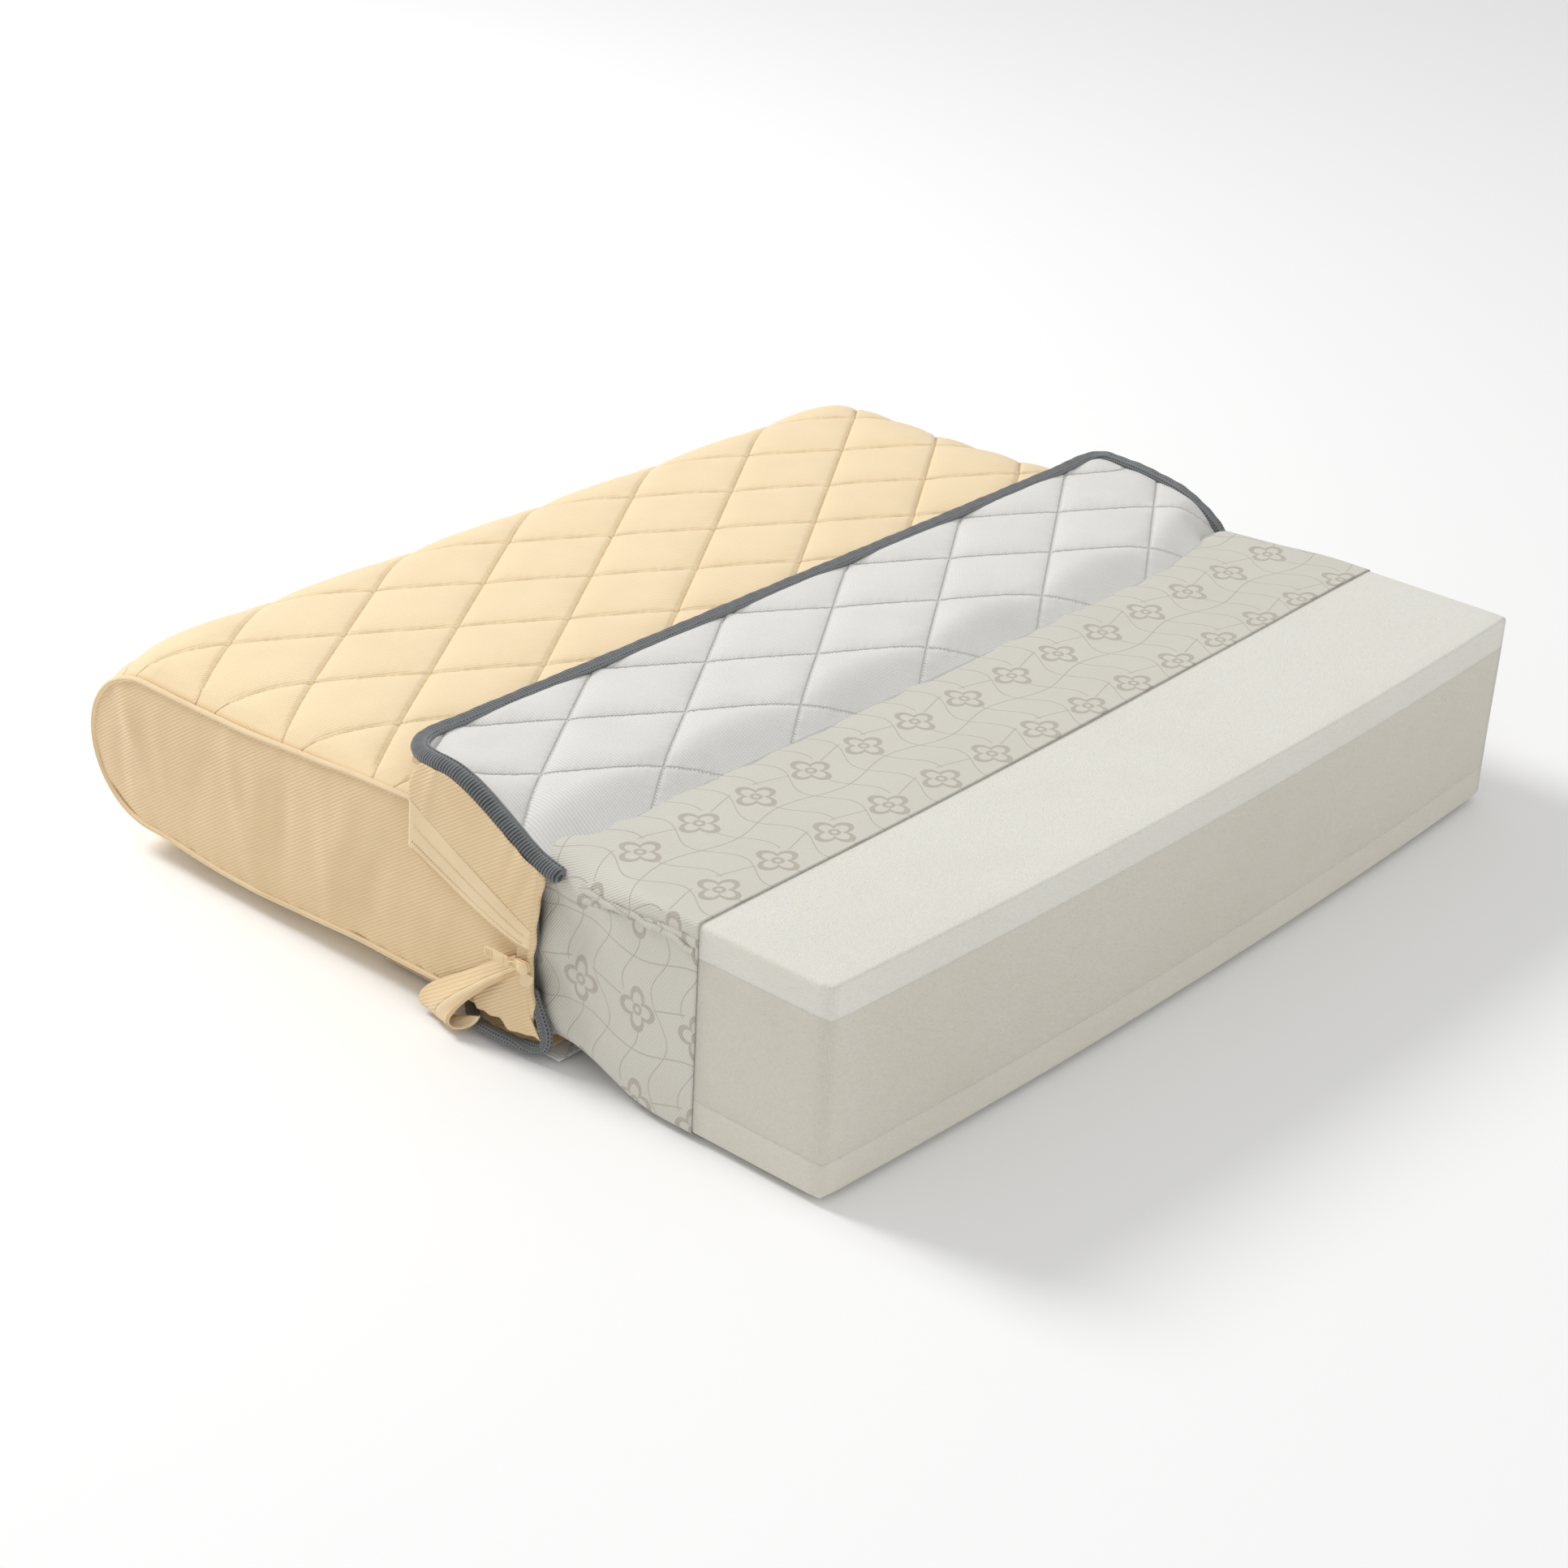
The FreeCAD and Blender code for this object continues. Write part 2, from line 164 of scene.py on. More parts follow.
def smooth_path(points, step, rounds=3):
    """A curve through the region of its corner points, rounded by corner cutting."""
    p = np.asarray(points, float)
    for _ in range(rounds):
        a, b = p[:-1], p[1:]
        p = np.concatenate([p[:1], np.stack([a * .75 + b * .25, a * .25 + b * .75], 1)
                            .reshape(-1, 3), p[-1:]])
    return resample(p, step)


def unit(v):
    """Vectors of length 1 along the last axis."""
    return v / np.maximum(np.linalg.norm(v, axis=-1, keepdims=True), 1e-9)


def lengths(path):
    """Distance along a path at each of its points."""
    return np.concatenate([[0], np.cumsum(np.linalg.norm(np.diff(path, axis=0), axis=1))])


def take(t, d, points):
    """Points at the distances t along a path whose own distances are d."""
    return np.stack([np.interp(t, d, points[:, k]) for k in range(3)], -1)


def sweep(name, path, section, up, material):
    """Carries a closed section along a path, with a cap at each end. The section's columns go
    along 'up' and along the side."""
    path = np.asarray(path, float)
    t = unit(np.gradient(path, axis=0))
    up = np.broadcast_to(np.asarray(up, float), path.shape)
    up = unit(up - (up * t).sum(1, keepdims=True) * t)
    side = np.cross(t, up)
    section = np.asarray(section, float)
    if section.ndim == 2:
        section = np.broadcast_to(section, (len(path),) + section.shape)
    p = (path[:, None, :] + up[:, None, :] * section[:, :, :1]
         + side[:, None, :] * section[:, :, 1:2])
    n, m = p.shape[:2]
    faces = [tuple(f) for f in quads(n, m, wrap_m=True).tolist()]
    flat = flat3(lengths(path)[:, None], lengths(section[0])[None, :]).reshape(-1, 3)
    flat = np.concatenate([flat, flat[:1], flat[-1:]])
    verts = np.concatenate([p.reshape(-1, 3), p[:1].mean(1), p[-1:].mean(1)])
    k = np.arange(m)
    nxt, last = (k + 1) % m, (n - 1) * m
    start = np.stack([k, nxt, np.full(m, n * m)], -1)
    end = np.stack([nxt + last, k + last, np.full(m, n * m + 1)], -1)
    faces += [tuple(f) for f in np.concatenate([start, end]).tolist()]
    return build(name, verts, faces, material, flat)


def ring(r_up, r_side, n):
    a = np.linspace(0, 2 * math.pi, n, endpoint=False)
    return np.stack([np.cos(a) * r_up, np.sin(a) * r_side], 1)


def step01(x, a, b):
    t = np.clip((np.asarray(x, float) - a) / (b - a), 0, 1)
    return t * t * (3 - 2 * t)


def ripple(x, y, seed):
    """Soft irregular relief between about -1 and 1, from a few slanted waves."""
    rng = np.random.RandomState(seed)
    total = 0.0
    for k in range(7):
        a = rng.uniform(0, math.pi)
        f = rng.uniform(0.5, 1.6)
        total = total + np.sin((x * math.cos(a) + y * math.sin(a)) * f + rng.uniform(0, 6.3))
    return total / 4.0


def mirror(p):
    q = np.array(p, float)
    q[..., 0] *= -1
    return q


# ---- materials -------------------------------------------------------------------------------
class Paint:
    """One node material with a Principled shader, and short names for its maths."""

    def __init__(self, name, colour, rough=0.9, sheen=0.0, subsurface=0.0, metallic=0.0):
        self.material = bpy.data.materials.new(name)
        self.material.use_nodes = True
        self.tree = self.material.node_tree
        self.shader = self.tree.nodes["Principled BSDF"]
        self.colour = colour
        put = self.shader.inputs
        put["Base Color"].default_value = (*colour, 1)
        put["Roughness"].default_value = rough
        put["Metallic"].default_value = metallic
        put["Specular IOR Level"].default_value = 0.25
        if sheen:
            put["Sheen Weight"].default_value = sheen
            put["Sheen Roughness"].default_value = 0.5
        if subsurface:
            put["Subsurface Weight"].default_value = subsurface
            put["Subsurface Radius"].default_value = (0.012, 0.010, 0.008)
            put["Subsurface Scale"].default_value = 0.5

    def feed(self, socket, value):
        if isinstance(value, bpy.types.NodeSocket):
            self.tree.links.new(value, socket)
        else:
            socket.default_value = value

    def mul(self, a, b):
        return self.math("MULTIPLY", a, b)

    def madd(self, a, b, c):
        return self.math("MULTIPLY_ADD", a, b, c)

    def off_middle(self, value):
        """Distance of a value's fraction from one half."""
        part = self.math("SUBTRACT", self.math("FRACT", value), 0.5)
        return self.math("ABSOLUTE", part)

    def radius(self, u, v):
        return self.math("SQRT", self.math("ADD", self.mul(u, u), self.mul(v, v)))

    def math(self, kind, a, b=0.0, c=None):
        node = self.tree.nodes.new("ShaderNodeMath")
        node.operation = kind
        self.feed(node.inputs[0], a)
        self.feed(node.inputs[1], b)
        if c is not None:
            self.feed(node.inputs[2], c)
        return node.outputs[0]

    def place(self):
        """Flat cloth coordinates carried by the mesh, in metres."""
        node = self.tree.nodes.new("ShaderNodeAttribute")
        node.attribute_name = "flat"
        split = self.tree.nodes.new("ShaderNodeSeparateXYZ")
        self.tree.links.new(node.outputs["Vector"], split.inputs[0])
        return node.outputs["Vector"], split.outputs[0], split.outputs[1]

    def solid_place(self):
        node = self.tree.nodes.new("ShaderNodeTexCoord")
        return node.outputs["Object"]

    def noise(self, vector, scale, detail=3.0, rough=0.6):
        node = self.tree.nodes.new("ShaderNodeTexNoise")
        self.feed(node.inputs["Vector"], vector)
        node.inputs["Scale"].default_value = scale
        node.inputs["Detail"].default_value = detail
        node.inputs["Roughness"].default_value = rough
        return node.outputs["Fac"]

    def spread(self, value, a, b, low=0.0, high=1.0):
        node = self.tree.nodes.new("ShaderNodeMapRange")
        node.interpolation_type = "SMOOTHSTEP"
        self.feed(node.inputs["Value"], value)
        for key, number in (("From Min", a), ("From Max", b), ("To Min", low), ("To Max", high)):
            self.feed(node.inputs[key], number)
        return node.outputs["Result"]

    def tint(self, factor, other):
        """Mixes the colour on the shader towards another by a factor."""
        node = self.tree.nodes.new("ShaderNodeMix")
        node.data_type = "RGBA"
        self.feed(node.inputs["Factor"], factor)
        current = self.shader.inputs["Base Color"]
        source = current.links[0].from_socket if current.is_linked else (*self.colour, 1)
        self.feed(node.inputs[6], source)
        self.feed(node.inputs[7], (*other, 1))
        self.tree.links.new(node.outputs[2], current)

    def bump(self, height, distance, strength=1.0):
        node = self.tree.nodes.new("ShaderNodeBump")
        node.inputs["Distance"].default_value = distance
        node.inputs["Strength"].default_value = strength
        self.feed(node.inputs["Height"], height)
        link = self.shader.inputs["Normal"]
        if link.is_linked:
            self.tree.links.new(link.links[0].from_socket, node.inputs["Normal"])
        self.tree.links.new(node.outputs["Normal"], link)


def rgb(r, g, b):
    """Linear colour from an sRGB one in 0..255."""
    def channel(c):
        c = c / 255.0
        return c / 12.92 if c <= 0.04045 else ((c + 0.055) / 1.055) ** 2.4
    return channel(r), channel(g), channel(b)


def foam_paint(name, colour, dark):
    paint = Paint(name, colour, rough=0.95, sheen=0.1, subsurface=0.25)
    place = paint.solid_place()
    cells = paint.tree.nodes.new("ShaderNodeTexVoronoi")
    paint.feed(cells.inputs["Vector"], place)
    cells.inputs["Scale"].default_value = 700.0
    pores = paint.spread(cells.outputs["Distance"], 0.0, 0.6)
    grain = paint.noise(place, 420.0, 4.0, 0.7)
    paint.tint(paint.spread(grain, 0.35, 0.75, 0.0, 0.5), dark)
    paint.tint(paint.spread(paint.noise(place, 9.0, 2.0), 0.4, 0.7, 0.0, 0.25), dark)
    paint.bump(paint.noise(place, 60.0, 2.0), 0.0006, 0.5)
    paint.bump(pores, 0.0005, 0.55)
    paint.bump(grain, 0.0006, 0.7)
    return paint.material


def woven(paint, x, y, pitch, degrees, distance, strength, break_up=0.2):
    """Ribs of a weave across a direction, as bump, crossed by the weft; the ribs are returned for
    the caller to shade.
    """
    turn = math.radians(degrees)
    along = paint.madd(y, math.sin(turn), paint.mul(x, math.cos(turn)))
    wave = paint.math("SINE", paint.mul(along, 2 * math.pi / pitch))
    weft = paint.madd(y, math.cos(turn), paint.mul(x, -math.sin(turn)))
    cross = paint.math("SINE", paint.mul(weft, 2 * math.pi / (pitch * 0.55)))
    ribs = paint.madd(cross, break_up, wave)
    paint.bump(ribs, distance, strength)
    return ribs


def cloth(name, colour, shade, pitch, degrees, distance, rib_shade=0.12, sheen=0.25, rough=0.85,
          blotch=0.25):
    paint = Paint(name, colour, rough=rough, sheen=sheen)
    vector, x, y = paint.place()
    paint.tint(paint.spread(paint.noise(vector, 14.0, 3.0), 0.35, 0.75, 0.0, blotch), shade)
    ribs = woven(paint, x, y, pitch, degrees, distance, 0.6)
    paint.tint(paint.spread(ribs, -1.2, 0.4, rib_shade, 0.0), shade)
    fibre = paint.noise(vector, 2600.0, 2.0)
    paint.tint(paint.spread(fibre, 0.3, 0.7, 0.0, 0.10), shade)
    paint.bump(fibre, 0.0001, 0.5)
    return paint


STEP_X, STEP_Y = 78.4, 50.6          # half diagonals of a quilted diamond
FIRST_X, FIRST_Y = 2.0, 542.0        # a crossing of two stitch lines
LINE_GAP = 1 / math.hypot(1 / (2 * STEP_X), 1 / (2 * STEP_Y))
WHOLE = 40.0                         # whole repeats added to keep a pattern's place positive


def quilted_cloth(name, colour, shade, groove, depth, pitch, degrees, distance, rib_shade):
    """Cloth with a crisp needle groove along the diamond stitch lines, darkened there with
    painted shade.
    """
    paint = cloth(name, colour, shade, pitch, degrees, distance, rib_shade)
    _, x, y = paint.place()
    across = paint.madd(x, 1000 / STEP_X, -FIRST_X / STEP_X)
    along = paint.madd(y, 1000 / STEP_Y, -FIRST_Y / STEP_Y)
    near = None
    for sign in (1.0, -1.0):
        line = paint.madd(along, sign * 0.5, paint.mul(across, 0.5))
        gap = paint.mul(paint.off_middle(paint.math("ADD", line, WHOLE + 0.5)), LINE_GAP)
        near = gap if near is None else paint.math("MINIMUM", near, gap)
    # painted shade: the colour darkens towards the groove colour along the stitch lines, standing
    # for the shade in their valleys; depth sets how far
    paint.tint(paint.spread(near, 0.3, 2.4, depth, 0.0), groove)
    paint.bump(paint.spread(near, 0.2, 1.8, 0.0, 1.0), 0.0012, 0.8)
    return paint.material


def printed_paint():
    """Stretch inner cover: fine diagonal knit, a thin wavy grid and a four-petal flower."""
    paint = Paint("printed_stretch", rgb(209, 206, 195), rough=0.8, sheen=0.3)
    vector, x, y = paint.place()
    grey = rgb(168, 163, 150)
    cell = 0.0626
    row = 0.077
    paint.tint(paint.spread(paint.noise(vector, 12.0, 3.0), 0.35, 0.75, 0.0, 0.25),
               rgb(197, 192, 180))
    # wavy grid: lines across and along, each swinging to and fro round the motifs
    swing_x = paint.math("SINE", paint.mul(y, 2 * math.pi / row))
    swing_y = paint.math("SINE", paint.mul(x, 2 * math.pi / (2 * cell)))
    bent_x = paint.madd(swing_x, 0.009, x)
    bent_y = paint.madd(swing_y, 0.006, y)
    lines = None
    for value, pitch in ((bent_x, cell / 2), (bent_y, row / 2)):
        gap = paint.mul(paint.off_middle(paint.madd(value, 1 / pitch, 0.25 + WHOLE)), pitch)
        line = paint.spread(gap, 0.00035, 0.0008, 1.0, 0.0)
        lines = line if lines is None else paint.math("MAXIMUM", lines, line)
    # flower motif in the middle of every other cell
    u, v = [paint.mul(paint.math("SUBTRACT", paint.math("FRACT", paint.madd(
        value, 1 / size, WHOLE)), 0.5), size) for value, size in ((x, cell), (y, row))]
    far = paint.radius(u, v)
    angle = paint.math("ARCTAN2", v, u)
    petals = paint.math("ABSOLUTE", paint.math("COSINE", paint.mul(angle, 2.0)))
    reach = paint.madd(petals, 0.0088, 0.0076)
    edge = paint.math("ABSOLUTE", paint.math("SUBTRACT", far, reach))
    outline = paint.spread(edge, 0.0022, 0.0028, 1.0, 0.0)
    core = paint.spread(paint.math("ABSOLUTE", paint.math("SUBTRACT", far, 0.0036)),
                        0.0011, 0.0017, 1.0, 0.0)
    motif = paint.math("MAXIMUM", outline, core)
    hatch = paint.math("SINE", paint.mul(paint.math("ADD", x, y), 2 * math.pi / 0.0014))
    motif = paint.mul(motif, paint.spread(hatch, -1.0, 1.0, 0.65, 1.0))
    clear = paint.spread(far, 0.0185, 0.0195)
    lines = paint.mul(lines, clear)
    paint.tint(paint.mul(lines, 0.75), grey)
    paint.tint(motif, rgb(172, 165, 150))
    ribs = woven(paint, x, y, 0.0021, 30, 0.0002, 0.55)
    paint.tint(paint.spread(ribs, -1.2, 0.4, 0.22, 0.0), rgb(196, 191, 179))
    paint.bump(paint.noise(vector, 2200.0, 2.0), 0.00008, 0.4)
    return paint.material


def mesh_paint(name, colour, hole):
    """Warp-knit binding tape: rows of dark holes, offset by half from row to row."""
    paint = Paint(name, colour, rough=0.75, sheen=0.2)
    vector, x, y = paint.place()
    pitch = 0.0027
    row = paint.math("FLOOR", paint.mul(y, 1 / pitch))
    shift = paint.mul(paint.math("MODULO", row, 2.0), 0.5)
    u = paint.off_middle(paint.madd(x, 1 / pitch, paint.math("ADD", shift, WHOLE)))
    v = paint.off_middle(paint.madd(y, 1 / pitch, WHOLE))
    far = paint.radius(u, v)
    holes = paint.spread(far, 0.24, 0.38, 1.0, 0.0)
    paint.tint(paint.mul(holes, 0.85), hole)
    paint.tint(paint.spread(paint.noise(vector, 500.0, 3.0), 0.4, 0.8, 0.0, 0.3),
               tuple(c * 1.25 for c in colour))
    paint.bump(paint.math("SUBTRACT", 0.0, holes), 0.0004, 0.7)
    return paint.material


QUILT = rgb(244, 222, 182)
QUILT_SHADE = rgb(232, 203, 158)
TWILL = rgb(235, 209, 167)
TWILL_SHADE = rgb(206, 176, 131)
GREY = rgb(118, 121, 122)
M = {
    "comfort": foam_paint("comfort_foam", rgb(227, 225, 216), rgb(217, 214, 203)),
    "core": foam_paint("core_foam", rgb(213, 209, 197), rgb(202, 197, 182)),
    "base": foam_paint("base_foam", rgb(218, 214, 202), rgb(207, 202, 188)),
    "print": printed_paint(),
    # in the quilted cloths the third colour is the painted shade of the stitch grooves
    "quilt": quilted_cloth("quilted_fabric", QUILT, QUILT_SHADE, rgb(216, 184, 134), 0.5, 0.0021,
                           60, 0.00018, 0.22),
    "lining": quilted_cloth("white_lining", rgb(232, 231, 227), rgb(206, 203, 197),
                            rgb(196, 192, 185), 0.32, 0.0027, 4, 0.0004, 0.5),
    "twill": cloth("twill", TWILL, TWILL_SHADE, 0.0027, 56, 0.0003, rib_shade=0.42).material,
    "piping": cloth("piping_fabric", rgb(240, 216, 176), TWILL_SHADE, 0.0012, 30,
                    0.0001).material,
    "tape": cloth("zip_tape", rgb(243, 219, 180), TWILL_SHADE, 0.0011, 90, 0.00012).material,
    "coil": Paint("zip_coil", rgb(236, 210, 168), rough=0.45).material,
    "grey": mesh_paint("grey_mesh_binding", GREY, rgb(42, 45, 47)),
    "thread": Paint("thread", rgb(226, 196, 148), rough=0.6, sheen=0.2).material,
    "white_thread": Paint("white_thread", rgb(206, 203, 197), rough=0.6, sheen=0.2).material,
    # tan thread of the zip coil stitches, also used for the line that paints the piping cord's
    # shadow
    "tan_thread_and_painted_shadow": Paint("tan_thread_and_painted_shadow", rgb(190, 163, 122), rough=0.6).material,
    "dark_thread": Paint("dark_thread", rgb(58, 62, 64), rough=0.6, sheen=0.2).material,
    "slider": Paint("slider_enamel", rgb(234, 209, 168), rough=0.38).material,
    "tab": Paint("pull_tab_rubber", rgb(232, 207, 166), rough=0.5).material,
}


# ---- foam block ------------------------------------------------------------------------------
def foam_outline(inset):
    """Plan outline of the block, offset inwards, with small corner rounding and a bowed end."""
    n = 64
    x0 = FOAM - inset
    xs = np.linspace(-x0, x0, n)
    front = np.stack([xs, -BOW * (1 - (xs / FOAM) ** 2) + inset], 1)
    end = FOAM_END - inset
    ys = np.linspace(0, 1, n)[1:]
    ys = inset + (end - inset) * ys
    right = np.stack([np.full(n - 1, x0), ys], 1)
    back = np.stack([xs[::-1][1:], np.full(n - 1, end)], 1)
    left = np.stack([np.full(n - 2, -x0), ys[::-1][1:]], 1)
    p = np.concatenate([front, right, back, left])
    radius = 4.0
    for cx, cy in ((radius - x0, inset + radius), (x0 - radius, inset + radius)):
        near = (np.abs(p[:, 0]) > abs(cx)) & (np.sign(p[:, 0]) == np.sign(cx)) & (p[:, 1] < cy)
        d = p[near] - (cx, cy)
        length = np.maximum(np.linalg.norm(d, axis=1, keepdims=True), 1e-6)
        p[near] = (cx, cy) + d / length * np.minimum(length, radius)
    return p


def foam_layer(name, node, z0, z1, r0, r1, kind):
    """One foam layer from z0 to z1, whose lower and upper edges are rounded by r0 and r1."""
    reach, corner = 400.0, 5.0
    rings = []
    for k in range(9):
        rings.append((reach * (1 - k / 8) ** 1.6 + r0, z0))
    for a in np.linspace(0, math.pi / 2, 5)[1:]:
        rings.append((r0 * (1 - math.sin(a)), z0 + r0 * (1 - math.cos(a))))
    for k in range(1, 10):
        rings.append((0.0, z0 + r0 + (z1 - z0 - r0 - r1) * k / 10))
    for a in np.linspace(0, math.pi / 2, 6):
        rings.append((r1 * (1 - math.cos(a)), z1 - r1 + r1 * math.sin(a)))
    for k in range(1, 9):
        rings.append((reach * (k / 8) ** 1.6 + r1, z1))
    rows = []
    for inset, z in rings:
        p = foam_outline(min(inset, corner))
        if inset > corner:
            s = 1 - (inset - corner) / reach
            middle = np.array([0.0, 395.0])
            p = middle + (p - middle) * s
        rows.append(np.concatenate([p, np.full((len(p), 1), z)], 1))
    p = np.array(rows)
    # cut faces are never quite flat
    x, y, z = np.moveaxis(p, -1, 0).copy()
    p[..., 1] += np.where(y < 40, 0.5 * ripple(x / 55, z / 40, 3), 0)
    p[..., 2] += 0.35 * ripple(x / 60, y / 60, 5) * (np.abs(z - FOAM_TOP) < 1)
    # inside the cover the block is squeezed and its end is rounded
    t = step01(y, 170, FOLD)
    hidden = step01(y, 275, 330)
    edge = (np.abs(x) / FOAM) ** 4
    p[..., 0] *= 1 - 0.022 * t - 0.014 * hidden
    p[..., 1] -= 10.0 * edge * step01(y, 600, FOAM_END)
    p[..., 2] += t * np.where(z > 90, -6.0 * edge - 1.0 - hidden * (3.0 + 12.0 * edge),
                              9.0 + 7.0 * edge) * np.abs(z - MID_Z) / 86
    covered = 150
    radius = 2.6 + 24.0 * step01(y, covered, FOLD)
    over = np.maximum(np.abs(p[..., 0]) - (FOAM - 1.0 - radius), 0)
    for side, level in ((1, FOAM_TOP - 0.2), (-1, 2.2 + 9.0 * step01(y, 175, FOLD))):
        rise = np.maximum(side * (p[..., 2] - level) + radius, 0)
        far = np.hypot(over, rise)
        pull = np.where((y > covered) & (far > radius), radius / np.maximum(far, 1e-6), 1.0)
        p[..., 0] -= np.sign(p[..., 0]) * over * (1 - pull) * (rise > 0)
        p[..., 2] -= side * rise * (1 - pull) * (over > 0)
    end_y, middle_z = 716, 90
    round_end = np.clip((y - end_y) / TURN_R, 0, 1)
    half = 84 * (1 - 0.62 * round_end ** 2.6) * (1 - 0.28 * edge)
    p[..., 2] = np.where(y > end_y, middle_z + np.clip(p[..., 2] - middle_z, -half, half),
                         p[..., 2])
    obj = build(name, p, quads(*p.shape[:2], wrap_m=True), M[kind])
    belong(obj, "mattress", kind + "_foam", node)


GLUED = 0.12              # rounding of an edge at a glue line
foam_layer("comfort_foam_layer", "foam_comfort_layer", CORE_TOP, FOAM_TOP, GLUED, 3.4, "comfort")
foam_layer("support_core", "foam_support_core", BASE_TOP, CORE_TOP, GLUED, GLUED, "core")
foam_layer("base_foam_layer", "foam_base_layer", 1.2, BASE_TOP, 4.5, GLUED, "base")


# ---- printed inner cover ---------------------------------------------------------------------
INNER_SEAM = 152.0
N_TOP, N_SIDE, N_ARC = 150, 40, 9        # points across, up a side and round a corner


def inner_section(y):
    """Half width, top, bottom and corner radius of the stretched cover at a depth."""
    tight = step01(y, 150, FOLD)
    radius = 4.0 + 24.0 * tight
    half = FOAM + 0.8 - 2.1 * tight
    top = FOAM_TOP + 0.8 + 1.1 * tight
    low = 1.0 + 9.0 * step01(y, 175, FOLD)
    return half, top, low, radius


def rounded_loop(half, top, low, radius):
    """Clockwise loop seen from the open end: left seam, up, over the top, down, underneath."""
    a = np.linspace(0, math.pi / 2, N_ARC)
    c, s = radius * np.cos(a), radius * np.sin(a)
    left, right, upper, lower = radius - half, half - radius, top - radius, low + radius
    z_side = np.linspace(lower, upper, N_SIDE)[:-1]
    xs = np.linspace(left, right, N_TOP)[1:-1]
    pts = [(np.full(N_SIDE - 1, -half), z_side), (left - c, upper + s),
           (xs, np.full(N_TOP - 2, top)), (right + s, upper + c),
           (np.full(N_SIDE - 1, half), z_side[::-1]), (right + c, lower - s),
           (xs[::-1], np.full(N_TOP - 2, low)), (left - s, lower - c)]
    return np.concatenate([np.stack(pair, 1) for pair in pts])


def inner_cover():
    straight, round_r = 585, 84
    ys = np.concatenate([np.linspace(0, 1, 70) * 170, np.linspace(175, straight, 20),
                         straight + 82 * np.sin(np.linspace(0.1, 1, 12) * math.pi / 2)])
    loops, flats = [], []
    for t in ys:
        half, top, low, radius = inner_section(t + INNER_CUT)
        if t > straight:
            drop = round_r * (1 - math.sqrt(max(0.0, 1 - ((t - straight) / round_r) ** 2)))
            top, low, radius = top - drop * 0.85 - 4, low + drop * 0.85 + 4, min(radius, 12.0)
            half -= 12
        loop = rounded_loop(half, top, low, radius)
        x, z = loop[:, 0], loop[:, 1]
        # the cut edge runs askew, nearer the open end on the left
        skew = INNER_CUT - 3 + 14 * step01(x, -300, FOAM) * step01(z, 60, 170) \
            + 4 * step01(x, 200, FOAM)
        y = skew + t * (1 - 0.02 * step01(x, -300, FOAM))
        fall = step01(y, 196, FOLD) * (1 - step01(y, 285, 320))
        inside = step01(y, 275, 310)
        edge_fade = np.exp(-np.maximum(y - INNER_CUT, 0) / 18)
        # gathers run out of the mouth: folds along Y that grow towards it
        pucker = fall * (0.2 + 0.8 * step01(np.abs(x), 360, 430)) * (
            1.6 * np.sin(x / 11.0 + 1.3 * np.sin(x / 47.0)) + 1.1 * np.sin(x / 6.7 + y / 30.0))
        on_top = step01(z, top - 3, top - 0.5)
        on_side = 1 - step01(np.abs(x), half - 3, half - 0.5)
        z = z - inside * (z - MID_Z) / 86 * (7.0 + 19.0 * (np.abs(x) / FOAM) ** 6)
        x = x * (1 - 0.03 * inside)
        z = z + on_top * (pucker + 0.5 * ripple(x / 30, y / 30, 8) * (1 - edge_fade))
        side = np.sign(x) * (1 - on_side)
        side_fold = fall * (3.0 * np.sin(z / 11.0 + 0.7 * np.sin(y / 9.0)) - 3.0)
        x = x + side * (side_fold + 0.6 * ripple(y / 24, z / 22, 9) * (1 - edge_fade))
        loops.append(np.stack([x, y, z], 1))
        flats.append(flat3(lengths(loop), y))
    p = np.array(loops)
    flat = np.array(flats)
    a = int((INNER_SEAM - 3) / 160 * N_SIDE)
    b = (N_SIDE - 1) + 2 * N_ARC + (N_TOP - 2) + (N_SIDE - 1) - a
    top = p[:, a:b]
    flat_top = flat[:, a:b].copy()
    centre = flat_top[..., 0].mean(axis=1, keepdims=True)
    flat_top[..., 0] = flat_top[..., 0] - centre - 2.0
    flat_top[..., 1] = top[..., 1] - 144.0 + 0.5 * 77
    rest = np.concatenate([p[:, b - 1:], p[:, :a + 1]], axis=1)
    x, y, z = np.moveaxis(rest, -1, 0)
    flat_rest = flat3(lengths(rest[2])[None, :], y)
    for on_side, start in ((x < -FOAM + 20, -160.0), (x > FOAM - 20, 0.0)):
        flat_rest[..., 0] = np.where(on_side, y * 1.08 + start, flat_rest[..., 0])
        flat_rest[..., 1] = np.where(on_side, z - 82.0 + 38.5, flat_rest[..., 1])
    upper = sheet_of("inner_cover_top_panel", top, 0.5, M["print"], flat_top)
    body = sheet_of("inner_cover_body", rest, 0.5, M["print"], flat_rest)
    belong(upper, "mattress", "printed_stretch_fabric", "inner_cover_top")
    belong(body, "mattress", "printed_stretch_fabric", "inner_cover_underside",
           "inner_cover_end", "inner_cover_side_left", "inner_cover_side_right")


inner_cover()


